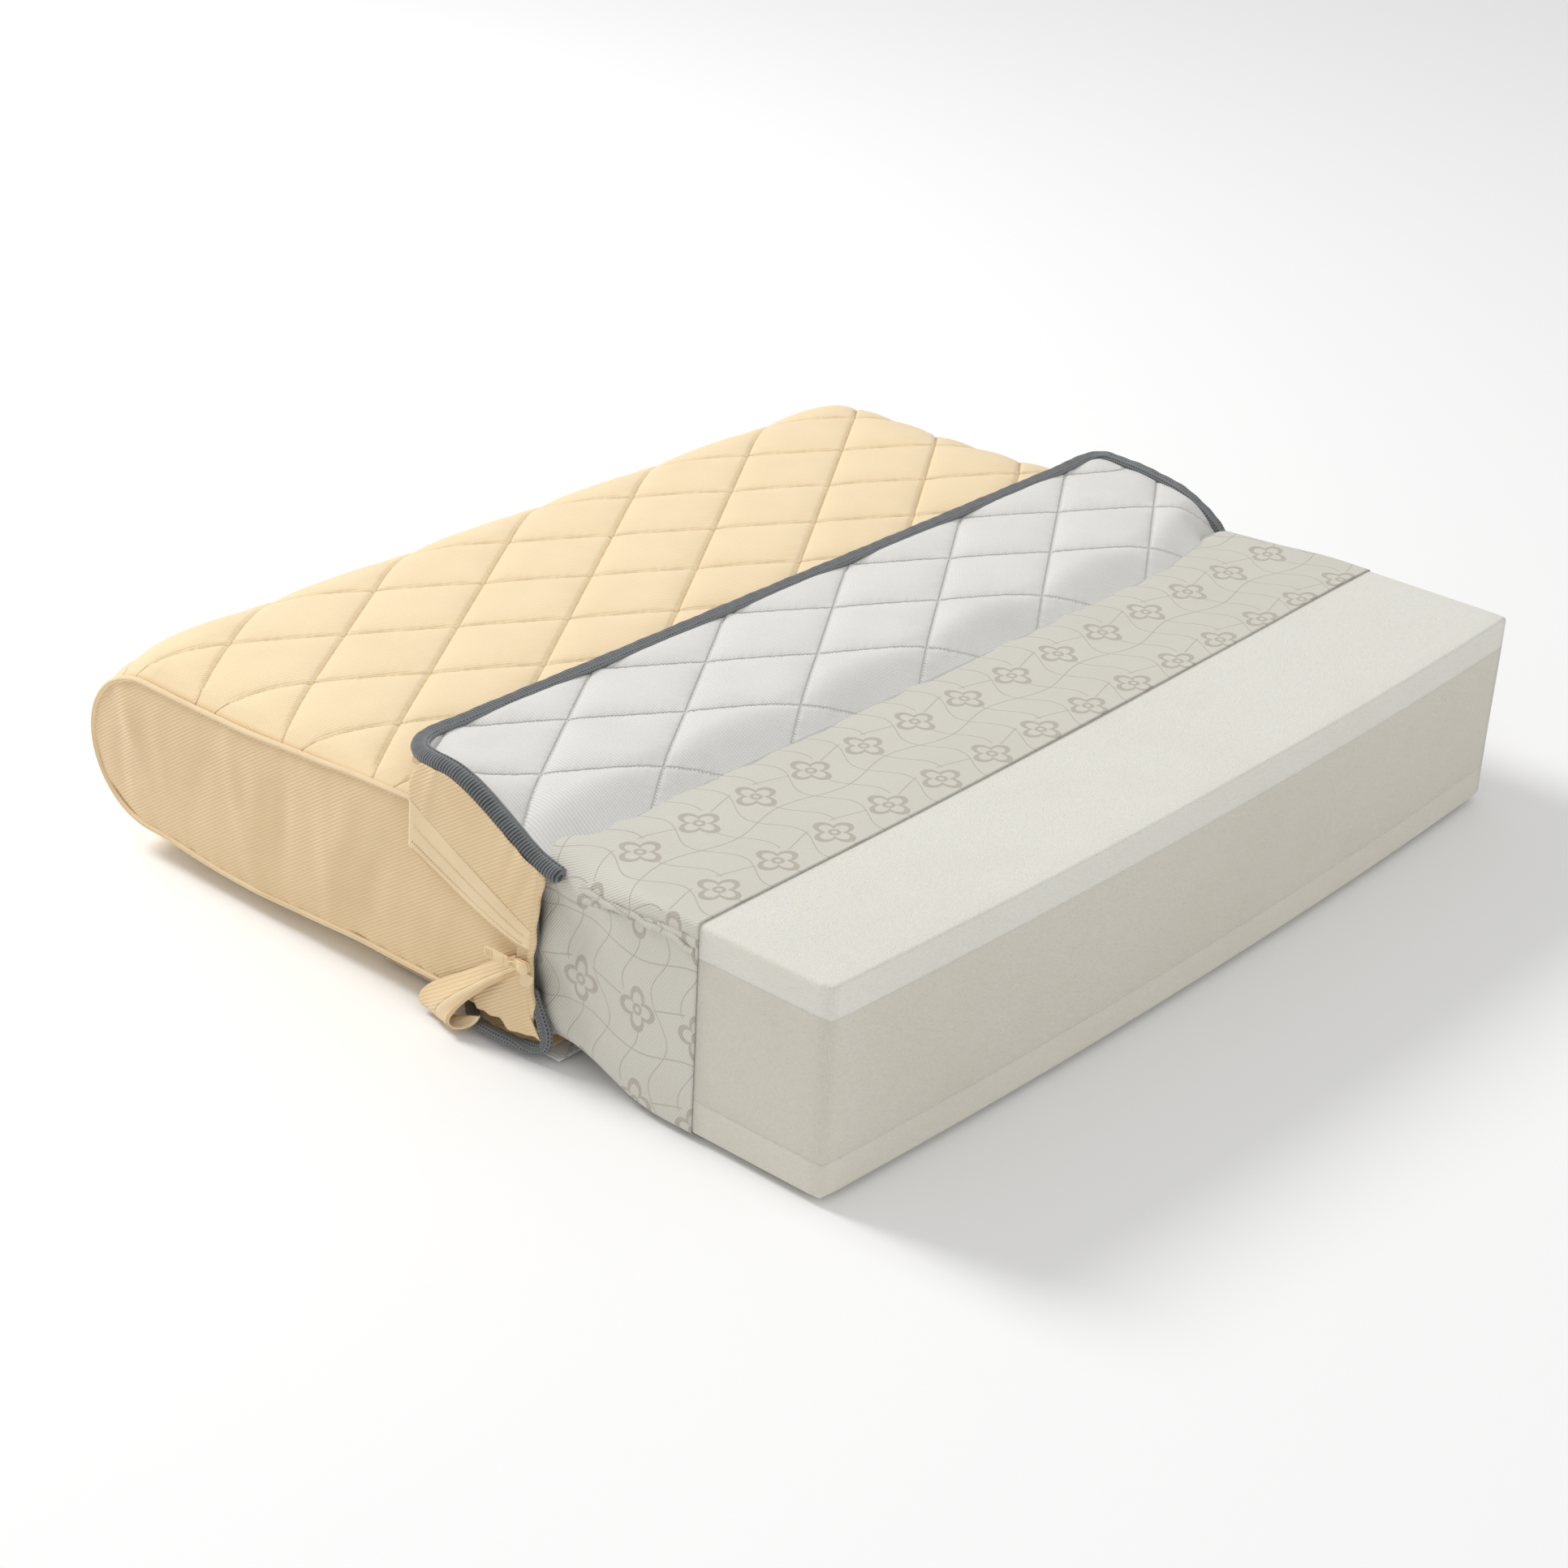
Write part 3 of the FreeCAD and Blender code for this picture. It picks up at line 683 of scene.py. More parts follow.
def inner_seams():
    """Standing overlocked ridges that join the inner cover's top and sides."""
    for side in (-1, 1):
        ys = np.arange(INNER_CUT, FOLD, 1.0)
        rise = 156 - 5 * step01(ys, 160, 120) - 6 * step01(ys, 225, FOLD)
        wave = 0.8 * np.sin(ys / 7.0) + 0.5 * np.sin(ys / 3.1)
        x = side * (FOAM + 1.6 - 5.5 * step01(ys, 200, FOLD) + 0.4 * np.sin(ys / 5.0))
        path = np.stack([x, ys, rise + wave], 1)
        a = np.linspace(0, 2 * math.pi, 10, endpoint=False)
        size = 1.0 + 0.15 * np.sin(ys * 2.4)
        section = np.stack([np.stack([np.cos(a) * 3.0 * s, np.sin(a) * 1.3 * s], 1)
                            for s in size])
        name = "inner_cover_seam_" + ("left" if side < 0 else "right")
        seam = sweep(name + "_overlock", path, section, (0, 0, 1), M["print"])
        belong(seam, "mattress", "printed_stretch_fabric", name)


inner_seams()


# ---- quilted panel ---------------------------------------------------------------------------
def quilt_space(x, y):
    """Skewed coordinates in which the stitch lines are whole numbers."""
    gx, gy = (x - FIRST_X) / STEP_X, (y - FIRST_Y) / STEP_Y
    return (gx + gy) / 2, (gx - gy) / 2


def puff(x, y, height, wrinkle):
    """Height of the padded diamonds: full in the middle, pulled down along each stitch line."""
    a, b = quilt_space(x, y)
    da = np.abs(a - np.round(a)) * LINE_GAP
    db = np.abs(b - np.round(b)) * LINE_GAP
    half = LINE_GAP / 2
    rise = (1 - (1 - da / half) ** 4.0) * (1 - (1 - db / half) ** 4.0)
    pull_a = np.exp(-da / 6.0) * np.sin(b * LINE_GAP / 1.7 + 1.6 * np.sin(b * 19))
    pull_b = np.exp(-db / 6.0) * np.sin(a * LINE_GAP / 1.7 + 1.6 * np.sin(a * 23))
    groove = np.exp(-(da / 1.5) ** 2) + np.exp(-(db / 1.5) ** 2)
    return (height * rise + wrinkle * 0.6 * (pull_a + pull_b)
            + 0.7 * wrinkle * ripple(x / 19, y / 19, 11) - 0.5 * np.minimum(groove, 1))


def seam_top(y):
    """Height of the upper piping along the side."""
    return 153.5 + 13.5 * step01(-y, -640, -380) + 3.0 * step01(-y, -380, -290)


def seam_low(y):
    return 22.0 - 6.0 * step01(y, 450, 600) * step01(-y, -720, -620)


PANEL_TURN_Y = 709.5             # where the panel starts round the closed end
PANEL_RUN = PANEL_TURN_Y - FOLD
PANEL_ARC = math.pi * 89.2
PANEL_LENGTH = PANEL_RUN * 2 + PANEL_ARC


def panel_profile(v):
    """Centre line and edge line of the wrapped panel, for v in mm from the fold round to the
    bottom mouth. Returns centre (y, z), edge (y, z) and outward normal (y, z)."""
    run, arc, b = PANEL_RUN, PANEL_ARC, COVER_TOP / 2
    v = np.asarray(v, float)
    t1 = np.clip(v / run, 0, 1)
    th = math.pi / 2 - math.pi * np.clip((v - run) / arc, 0, 1)
    t3 = np.clip((v - run - arc) / run, 0, 1)
    cy = np.where(v < run, FOLD + run * t1, np.where(
        v < run + arc, PANEL_TURN_Y + MID_Z * np.cos(th), PANEL_TURN_Y - run * t3))
    cz = np.where(v < run, COVER_TOP, np.where(v < run + arc, b + b * np.sin(th), 0.0))
    edge_run = TURN_Y - FOLD
    ey = np.where(v < run, FOLD + edge_run * t1, np.where(
        v < run + arc, TURN_Y + TURN_R * np.cos(th), TURN_Y - edge_run * t3))
    ez_top = seam_top(FOLD + edge_run * t1)
    ez_low = seam_low(TURN_Y - edge_run * t3)
    ez = np.where(v < run, ez_top, np.where(v < run + arc, MID_Z + TURN_HALF * np.sin(th),
                                            ez_low))
    cz = cz + np.where(v > run + arc * 0.9, 0.4 + 3.4 * step01(-cy, -520, -480), 0.0)
    ny = np.where((v >= run) & (v <= run + arc), np.cos(th), 0.0)
    nz = np.where(v < run, 1.0, np.where(v > run + arc, -1.0, np.sin(th)))
    return (cy, cz), (ey, ez), (ny, nz)


def crown(x):
    """0 in the middle, 1 at the seam: how far the panel has turned down to the piping."""
    reach = 76
    t = np.clip((np.abs(x) - (SEAM_X - reach)) / reach, 0, 1)
    return 0.42 * t ** 2 + 0.58 * (1 - np.sqrt(np.clip(1 - t ** 3.2, 0, 1)))


FLAP_EDGE = 453.5
FLAP_CORNERS = (58.0, 24.0)      # left, right


def crease(x):
    """Y and Z of the fold's front edge across the width."""
    y = 260 - 4 * step01(-x, 330, 450) + 26 * step01(x, 290, 455)
    z = 175.6 - 17.5 * step01(-x, 395, 455) - 32 * step01(x, 375, 455)
    return y, z


def free_edge(x):
    """Y of the flap's far edge, with its two rounded corners."""
    r = np.where(x < 0, *FLAP_CORNERS)
    over = np.clip(np.abs(x) - (FLAP_EDGE - r), 0, r * 0.998)
    return 444.5 + 0.0095 * x - (r - np.sqrt(np.clip(r * r - over * over, 0, None)))


def flap_height(x, y):
    """Height of the flap's upper face, which turns down towards both sides."""
    yc, zc = crease(x)
    s = np.maximum(y - yc, 0)
    ramp = np.sin(math.pi / 2 * np.clip(s / 46, 0, 1)) ** 1.05
    z = zc + (194.0 - zc) * ramp + 1.2 * step01(s, 60, 160)
    left = 157 + 48 * step01(y, 250, 376)
    right = 143 + 56.5 * (1 - np.exp(-np.maximum(y - 286, 0) / 36))
    edge = np.where(x < 0, left, right)
    level = 372
    g = np.clip((np.abs(x) - level) / (FLAP_EDGE - level), 0, 1) ** 2.3
    return z + (edge - z) * g


def flap_point(x, y, side="lining"):
    """A point of the flap's lining face or of its fabric face."""
    x, y = np.broadcast_arrays(np.asarray(x, float), np.asarray(y, float))
    yc, _ = crease(x)
    s = y - yc
    rim = np.minimum(FLAP_EDGE - np.abs(x), free_edge(x) - y)
    fade = step01(rim, 4, 18) * step01(s, 10, 44)
    relief = puff(x, 2 * FOLD - y, 4.8, 0.0) * fade + puff(x, 2 * FOLD - y, 0.0, 0.45)
    relief = relief - 3.0 * fade
    soft = 0.7 * ripple(x / 42, y / 30, 31) * step01(s, 5, 40)
    z = flap_height(x, y)
    if side == "lining":
        z = z + relief + soft
    else:
        thick = 1.2 + 6.6 * step01(s, 0, 30) * (0.45 + 0.55 * step01(rim, 1, 14))
        z = z - thick - np.maximum(relief, -1.5) * 0.8 * step01(s, 20, 50)
    return np.stack([x, y, z], -1)


def panel_point(x, v):
    """Outer surface of the wrapped panel at a place across it and a distance round it."""
    x, v = np.broadcast_arrays(np.asarray(x, float), np.asarray(v, float))
    late = np.maximum(crease(x)[0] + 5 - FOLD, 0)
    v = v + late * (1 - step01(v, 0, 90))
    (cy, cz), (ey, ez), (ny, nz) = panel_profile(v)
    g = crown(x)
    floor = step01(v, PANEL_RUN + PANEL_ARC * 0.75, PANEL_RUN + PANEL_ARC)
    high = 3.1 * (1 - step01(np.abs(x), SEAM_X - 16, SEAM_X - 4)) * (1 - floor)
    h = puff(x, FOLD + v, 1.0, 0.0) * high
    h = h + puff(x, FOLD + v, 0.0, 0.4) * (1 - floor)
    ridge = 0.8 * np.exp(-((np.abs(x) - (SEAM_X - 9)) / 2.6) ** 2)
    h = h + ridge - 1.9 * (1 - floor)
    y = cy + (ey - cy) * g + ny * h
    z = cz + (ez - cz) * g + nz * h
    under = flap_point(x, np.maximum(y, crease(x)[0] + 0.5), "fabric")[..., 2] - 0.9
    covered = (v < 190) & (y < free_edge(x) + 1)
    z = np.where(covered, np.minimum(z, under), z)
    return np.stack([x - np.sign(x) * 1.5 * g * (1 - g), y, z], -1)


def quilted_panel():
    """One padded panel wrapped over the top, round the closed end and under the bottom."""
    turn = PANEL_RUN + PANEL_ARC * 0.9
    v = np.concatenate([np.arange(0, turn, 2.0), np.arange(turn, PANEL_LENGTH - 10, 7.0)])
    x = np.linspace(-1, 1, 453)
    x = np.sign(x) * np.abs(x) ** 0.94 * SEAM_X
    x, v = np.broadcast_arrays(x[None, :], v[:, None])
    p = panel_point(x, v)
    ny, nz = panel_profile(v)[2]
    inside = p - np.stack([np.zeros_like(ny), ny, nz], -1) * 5.0
    inside[..., 0] *= 0.994
    obj = slab("quilted_panel", p, inside, M["quilt"], flat3(x, FOLD + v))
    belong(obj, "mattress", "quilted_fabric",
           *("cover_" + part + "_" + layer for part in ("top", "end", "bottom")
             for layer in ("lining", "wadding", "fabric")))


def stitches(name, runs, material, length=3.0, gap=1.1, radius=0.34, rise=0.25):
    """Short threads along surface lines. A run is (points, outward normals)."""
    verts, faces = [], []
    sides, rings = 5, 5
    a = np.linspace(0, 2 * math.pi, sides, endpoint=False)
    base = quads(rings, sides, wrap_m=True)
    offset = 0
    for points, outward in runs:
        points = np.asarray(points, float)
        d = lengths(points)
        if d[-1] < length * 2:
            continue
        starts = np.arange(gap, d[-1] - length, length + gap)
        t = starts[:, None] + np.array([0.0, 0.12, 0.5, 0.88, 1.0])[None, :] * length
        p, n = take(t, d, points), take(t, d, outward)
        lift = np.array([-0.5, 0.2, 1.0, 0.2, -0.5]) * rise
        p = p + n * lift[None, :, None]
        side = unit(np.cross(unit(p[:, -1:] - p[:, :1]), n))
        size = np.array([0.35, 0.85, 1.0, 0.85, 0.35]) * radius
        loops = (p[:, :, None, :]
                 + n[:, :, None, :] * (np.cos(a)[:, None] * size[:, None, None])[None]
                 + side[:, :, None, :] * (np.sin(a)[:, None] * size[:, None, None])[None])
        for _ in starts:
            faces.append(base + offset)
            offset += rings * sides
        verts.append(loops.reshape(-1, 3))
    return build(name, np.concatenate(verts), np.concatenate(faces), material)


def line_runs(point, inside, x_range, y_range):
    """Stitch lines of the diamond pattern, traced on a surface point(x, y)."""
    step, beyond, halvings = 2.0, 300.0, 26
    runs = []
    x = np.arange(x_range[0], x_range[1], step)
    y = np.arange(y_range[0], y_range[1], step)
    for family in (0, 1):
        a, b = quilt_space(np.array([x_range[0], x_range[1]])[:, None],
                           np.array([y_range[0], y_range[1]])[None, :])
        value = (a, b)[family]
        for k in range(int(math.floor(value.min())), int(math.ceil(value.max())) + 1):
            lo = np.full(x.shape, y_range[0] - beyond)
            hi = np.full(x.shape, y_range[1] + beyond)
            sign = 1 if family == 0 else -1
            for _ in range(halvings):
                mid = (lo + hi) / 2
                v = quilt_space(x, mid)[family]
                low_side = v * sign < k * sign
                lo = np.where(low_side, mid, lo)
                hi = np.where(low_side, hi, mid)
            yy = (lo + hi) / 2
            keep = inside(x, yy)
            edges = np.flatnonzero(np.diff(np.concatenate([[0], keep.astype(int), [0]])))
            for i0, i1 in zip(edges[::2], edges[1::2]):
                if i1 - i0 < 4:
                    continue
                xs, ys = x[i0:i1], yy[i0:i1]
                dx = point(xs + 0.5, ys) - point(xs - 0.5, ys)
                dy = point(xs, ys + 0.5) - point(xs, ys - 0.5)
                runs.append((point(xs, ys), unit(np.cross(dx, dy))))
    return runs


quilted_panel()


def quilt_stitching():
    limit = SEAM_X - 5
    runs = line_runs(lambda x, y: panel_point(x, y - FOLD),
                     lambda x, y: (np.abs(x) < limit) & (y > FOLD + 14)
                     & (y < FOLD + PANEL_RUN + PANEL_ARC * 0.85),
                     (-limit, limit), (FOLD, FOLD + PANEL_RUN + PANEL_ARC))
    belong(stitches("quilt_stitching", runs, M["thread"]), "mattress", "quilted_fabric")


quilt_stitching()


# ---- gussets and piping ----------------------------------------------------------------------
def side_edge(side, y):
    """Height of the flap's bound edge at the side."""
    return flap_height(np.full_like(y, side * (FLAP_EDGE - 0.5)), y)


def mouth_at(side):
    """Y of the gusset's open edge."""
    return MOUTH if side < 0 else MOUTH + 16


def mouth_shift(z):
    """The open edge leans back below the middle of the side."""
    return -4.0 + 8.0 * step01(-z, -150, -85)


def seam_height(side, y):
    """The upper piping, which dips under the flap's edge beside the mouth."""
    return np.minimum(seam_top(y), side_edge(side, np.maximum(y, 252 if side < 0 else 288)) - 5)


def gusset_edge(side, y):
    """Lower and upper seam heights, closing at the round end."""
    round_end = np.clip((y - TURN_Y) / TURN_R, 0, 1)
    half = np.sqrt(np.clip(1 - round_end ** 2, 0, 1))
    top = np.where(y < TURN_Y, seam_height(side, y), MID_Z + TURN_HALF * half)
    low = np.where(y < TURN_Y, seam_low(y), MID_Z - TURN_HALF * half)
    return low, top


def gusset(side, label):
    """Twill side panel with its rolled open edge, its piping and a line of dark thread pieces
    beside the piping that paints the cord's shadow.
    """
    flat_run = np.arange(mouth_at(side), TURN_Y, 2.0)
    turn = TURN_Y + TURN_R * np.sin(np.linspace(0, 1, 40)[1:] * math.radians(88.5))
    ys = np.concatenate([flat_run, turn])
    t = np.linspace(-1, 1, 66)[None, :]
    low, top = gusset_edge(side, ys)
    z = (low + top)[:, None] / 2 + (top - low)[:, None] / 2 * t
    y = ys[:, None] + 0 * t
    near = 1 - step01(y, 400, 450)
    body = (1 - t ** 2) ** 0.7 * (4.6 - 2.2 * near) * (1 - step01(y, 740, 794) * 0.8)
    folds = 0.0
    rng = np.random.RandomState(7 if side < 0 else 12)
    for k in range(13):
        at = 330 + k * 36 + rng.uniform(-14, 14)
        lean = rng.uniform(-0.35, 0.45)
        size = rng.uniform(0.8, 3.2) * (1 if k % 3 else -1)
        width = rng.uniform(7, 15)
        middle = rng.uniform(60, 120)
        reach = rng.uniform(28, 60)
        folds = folds + size * np.exp(-((y - at - lean * (z - middle)) / width) ** 2) \
            * np.exp(-((z - middle) / reach) ** 2) * (1 - 0.55 * near)
    seam_gap = np.minimum(top[:, None] - z, z - low[:, None])
    gather = np.exp(-seam_gap / 9.0) * 0.5 * np.sin(y / 3.6 + 1.5 * np.sin(y / 21.0))
    gather = gather * (1 - np.exp(-seam_gap / 1.5))
    out = 452.6 + body + folds + gather + 0.5 * ripple(y / 30, z / 26, 21) * (1 - t ** 4)
    # the open edge is rolled outwards over itself
    roll_n = 10
    angle = np.linspace(math.pi, 0, roll_n)[:, None]
    wave = 1.2 * np.sin(z[:1] / 9.0) + 0.8 * np.sin(z[:1] / 4.3 + 1)
    front = out[:1]
    roll_out = front + 2.0 + 2.0 * np.cos(angle)
    roll_y = mouth_at(side) - 2.6 * np.sin(angle) + wave * np.sin(angle)
    back_y = np.linspace(12, 1, 7)[:, None]
    strip_y = mouth_at(side) + back_y + 0 * t
    strip_out = front + 4.0 + 0 * back_y
    y = np.concatenate([strip_y, roll_y[::-1], y])
    open_part = 1 - step01(y, mouth_at(side), mouth_at(side) + 60)
    out = np.concatenate([strip_out, roll_out, out])
    z = np.concatenate([np.repeat(z[:1], len(back_y) + roll_n, axis=0), z])
    y = y + mouth_shift(z) * open_part
    p = np.stack([side * out, y, z], -1)
    if side > 0:
        p = p[:, ::-1]
    obj = sheet_of("gusset_" + label, p, 1.1, M["twill"])
    belong(obj, "mattress", "twill_fabric", "side_gusset_" + label)
    # piping all round the gusset
    ys2 = np.arange(mouth_at(side) + 1, TURN_Y, 3.0)
    a = np.linspace(0, math.pi, 40)[1:-1]
    loop = np.concatenate([
        np.stack([ys2, seam_height(side, ys2)], 1),
        np.stack([TURN_Y + TURN_R * np.sin(a), MID_Z + TURN_HALF * np.cos(a)], 1),
        np.stack([ys2[::-1], seam_low(ys2[::-1])], 1)])
    x = np.full(len(loop), side * (SEAM_X + 2.2)) + side * 0.25 * np.sin(loop[:, 0] / 13)
    path = np.concatenate([x[:, None], loop], axis=1)
    path, _ = resample(path, 2.5)
    cord = sweep("piping_cord_" + label, path, ring(2.5, 2.5, 14), (side, 0, 0), M["piping"])
    belong(cord, "mattress", "piping_fabric", "piping_" + label)
    # painted shadow beside the piping: a dark line of thread pieces where the cord's shadow gap
    # falls
    inset = 3.3
    centre = np.array([0, 640.0, MID_Z])
    inward = np.cross(unit(np.gradient(path, axis=0)), np.array([side, 0, 0]))
    inward *= np.sign((inward * (centre - path)).sum(1, keepdims=True))
    shrunk = path + inward * inset
    shrunk[:, 0] = side * (SEAM_X + 1.9)
    outward = np.tile(np.array([[side, 0, 0]], float), (len(path), 1))
    # painted shadow line, made of dark thread pieces
    thread = stitches("piping_shadow_line_" + label, [(shrunk, outward)], M["tan_thread_and_painted_shadow"], 2.6,
                      0.6, 0.42)
    belong(thread, "mattress", "twill_fabric")


gusset(-1, "left")
gusset(1, "right")


# ---- turned-back flap ------------------------------------------------------------------------
def flap():
    """The top flap turned back: two padded skins, lining stitches and the grey binding."""
    x = np.linspace(-1, 1, 451)
    x = np.sign(x) * np.abs(x) ** 0.96 * FLAP_EDGE
    t = np.linspace(0, 1, 96)[None, :]
    yc, _ = crease(x)
    ye = free_edge(x)
    y = yc[:, None] + (ye - yc)[:, None] * t
    xx = x[:, None] + 0 * t
    top = flap_point(xx, y)
    bottom = flap_point(xx, y, "fabric")
    flat = flat3(xx, 2 * FOLD - y)
    # two skins: white lining above, quilted fabric below, joined inside the binding
    middle = (top + bottom) / 2
    upper = slab("flap_lining_face", top, middle, M["lining"], flat)
    lower = slab("flap_quilted_face", middle - (0, 0, 0.05), bottom, M["quilt"], flat)
    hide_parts("flap_lining", "flap_wadding")
    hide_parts("flap_fabric")
    limit = FLAP_EDGE - 8
    mirrored = 2 * FOLD                  # the flap's pattern runs back from the fold
    runs = line_runs(lambda a, b: flap_point(a, mirrored - b),
                     lambda a, b: (np.abs(a) < limit)
                     & (mirrored - b > crease(a)[0] + 12) & (mirrored - b < free_edge(a) - 8),
                     (-limit, limit), (mirrored - 450, mirrored - 240))
    runs = [(p, -n) if n[:, 2].mean() < 0 else (p, n) for p, n in runs]
    thread = stitches("lining_stitching", runs, M["white_thread"], 2.2, 1.9, 0.3, 0.15)
    rim = np.concatenate([middle[0], middle[1:, -1], middle[-1, ::-1][1:]])
    ends = [rim[i] + unit(rim[i] - rim[j]) * 3.0 for i, j in ((0, 1), (-1, -2))]
    rim, _ = resample(np.concatenate([ends[:1], rim, ends[1:]]), 2.2)
    for _ in range(5):
        rim[1:-1] = (rim[:-2] + 2 * rim[1:-1] + rim[2:]) / 4
    up = np.tile(np.array([[0.0, 0.0, 1.0]]), (len(rim), 1))
    side_part = np.clip((np.abs(rim[:, 0]) - (FLAP_EDGE - 20)) / 20, 0, 1)
    up[:, 0] = np.sign(rim[:, 0]) * 0.35 * side_part
    section = [(2.2, 9.8), (3.4, 8.8), (3.0, 7.7), (4.5, 6.2), (5.1, 3.4), (4.8, 0.6),
               (3.4, -1.9), (0.6, -3.0), (-2.4, -2.5), (-3.8, 0.2), (-4.0, 4.0), (-3.2, 8.0),
               (-1.0, 9.4)]
    count = np.arange(len(rim))
    wobble = 1 + 0.05 * np.sin(count * 0.31) + 0.04 * np.sin(count * 0.83)
    sections = np.array(section)[None] * 1.12 * np.stack([wobble, np.ones_like(wobble)],
                                                         1)[:, None, :]
    from_end = np.minimum(count, count[::-1])
    closing = np.interp(from_end, [0, 1, 2, 3], [0.1, 0.62, 0.9, 1.0])
    middle_of_band = np.array([0.4, 3.0])
    sections = middle_of_band + (sections - middle_of_band) * closing[:, None, None]
    band = sweep("flap_edge_binding", rim, sections, up, M["grey"])
    line = rim + np.cross(unit(np.gradient(rim, axis=0)), up) * 8.6 + up * 3.5
    dark = stitches("binding_thread", [(line, up)], M["dark_thread"], 2.4, 1.0, 0.3, 0.3)
    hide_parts("flap_binding")
    still, moving = metres((0, 261, 172.5)), metres((0, 274, 183.5))
    for piece in (upper, lower, thread, band, dark):
        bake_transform(piece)


flap()


# ---- zip strips ------------------------------------------------------------------------------
def tape_top(y):
    return 108 + 61 * np.clip((y - 273) / 130.0, 0, 1.2) ** 1.1


def tape_low(y):
    return 93 + 36 * np.clip((y - 285) / 117.0, 0, 1.2) ** 1.25


STRIP_FAR = 405.0


def upper_strip(side, label):
    """Side strip that hangs inside out from the flap's edge, with its half of the zip."""
    start = mouth_at(side) - 2.8
    y = (start + (STRIP_FAR - start) * np.linspace(0, 1, 96) ** 1.35)[:, None]
    t = np.linspace(0, 1, 40)[None, :]
    curl = 3.2 * (1 - np.sqrt(np.clip(1 - (1 - np.clip((y - start) / 3.6, 0, 1)) ** 2, 0, 1)))
    top = side_edge(side, y) - 3.0
    top = np.maximum(top, tape_top(y) + 6)
    z = top + (tape_top(y) - top) * t
    hang = np.sin(math.pi * t * 0.5)
    u = (y - start) / (STRIP_FAR - start)
    folds = 1.3 * np.sin((y + 0.35 * (z - 130)) / 6.5 + 0.8 * np.sin(y / 17)) * np.exp(
        -((u - 0.12) / 0.16) ** 2) * (1 - t) ** 0.7
    folds = folds + 1.1 * np.exp(-((y - 388 + 0.05 * (z - 160)) / 5.0) ** 2) * (1 - t * 0.5)
    out = 457.6 + 2.4 * hang + 0.9 * np.abs(folds) + 0.4 * ripple(y / 20, z / 15, 41) - curl
    wide = y + 2.5 * step01(u, 0.9, 1.0) * np.sin(math.pi * t) + mouth_shift(z) * (1 - u) ** 2
    wide = wide - 10.0 * (1 - t) ** 2 * step01(u, 0.6, 1.0)
    p = np.stack([side * out, wide, z], -1)
    if side > 0:
        p = p[:, ::-1]
    strip = sheet_of("zip_strip_" + label, p, 1.1, M["twill"])
    # tape below it: a wide plain band, a stitched line, the woven coil band and its rolled edge
    w = np.linspace(0, 1, 26)[None, :]
    z2 = tape_top(y) + (tape_low(y) - tape_top(y)) * w
    out2 = 459.9 + 1.0 * np.sin(w * math.pi * 0.5) + 0.5 * np.exp(-((w - 0.02) / 0.05) ** 2)
    out2 = out2 - 0.5 * np.exp(-((w - 0.47) / 0.03) ** 2) - 0.35 * np.exp(
        -((w - 0.82) / 0.03) ** 2) + 0.35 * np.exp(-((w - 0.92) / 0.05) ** 2)
    out2 = out2 + 0.3 * np.sin(y / 23) - curl
    p2 = np.stack([side * out2, y + mouth_shift(z2) * (1 - u) ** 2, z2], -1)
    if side > 0:
        p2 = p2[:, ::-1]
    tape = sheet_of("zip_tape_" + label, p2, 1.3, M["tape"])
    ys = np.arange(mouth_at(side) + 4, STRIP_FAR - 2, 1.5)

    def at(fraction, lift):
        zz = tape_top(ys) + (tape_low(ys) - tape_top(ys)) * fraction
        lean = mouth_shift(zz) * (1 - (ys - start) / (STRIP_FAR - start)) ** 2
        return np.stack([np.full(len(ys), side * (460.9 + lift)), ys + lean, zz], 1)

    outward = np.tile(np.array([[side, 0, 0]], float), (len(ys), 1))
    dots = stitches("zip_coil_stitches_" + label, [(at(0.83, -0.2), outward)], M["tan_thread_and_painted_shadow"],
                    0.9, 1.5, 0.45, 0.2)
    seam = stitches("zip_tape_seam_" + label, [(at(0.47, -0.3), outward)], M["thread"],
                    2.6, 0.9, 0.28, 0.2)
    coil = coil_row("zip_coil_" + label, at(0.985, -0.4), outward, 1.15)
    body = "strip_" + label
    belong(strip, body, "twill_fabric", "upper_strip_" + label)
    belong(tape, body, "zip_tape", "upper_zip_tape_" + label)
    belong(dots, body, "zip_coil")
    belong(seam, body, "zip_tape")
    belong(coil, body, "zip_coil", "upper_zip_teeth_" + label)


def coil_row(name, path, outward, radius):
    """A nylon zip coil: a helix of thin wire along a path."""
    pitch = 1.5
    d = lengths(path)
    t = np.arange(0, d[-1], pitch / 9)
    p, n = take(t, d, path), take(t, d, outward)
    side = np.cross(unit(np.gradient(p, axis=0)), n)
    angle = t / pitch * 2 * math.pi
    helix = (p + n * (np.cos(angle) * radius * 0.75)[:, None]
             + side * (np.sin(angle) * radius)[:, None])
    return sweep(name, helix, ring(0.34, 0.34, 6), n, M["coil"])


upper_strip(-1, "left")
upper_strip(1, "right")


def flat_strip(name, x_half, y0, y1, z, thick, material, nodes, body, slot_name, wave=0.0,
               narrow=0.0, follow=False):
    """A flat band across the width. It can narrow under the cover or follow the flap's edge."""
    x = np.linspace(-x_half, x_half, 180)[:, None]
    y = np.linspace(y0, y1, max(4, int(abs(y1 - y0) / 3)))[None, :]
    if follow:
        y = np.minimum(y, free_edge(x) + 3.5)
    zz = z + wave * ripple(x / 40, y / 20, 51) + 0 * y
    p = np.stack([x * (1 - narrow * step01(y, 330, 372)) + 0 * y, y + 0 * x, zz], -1)
    obj = slab(name, p, p - (0, 0, thick), material, flat3(*np.broadcast_arrays(x, y)))
    belong(obj, body, slot_name, *nodes)
    return obj


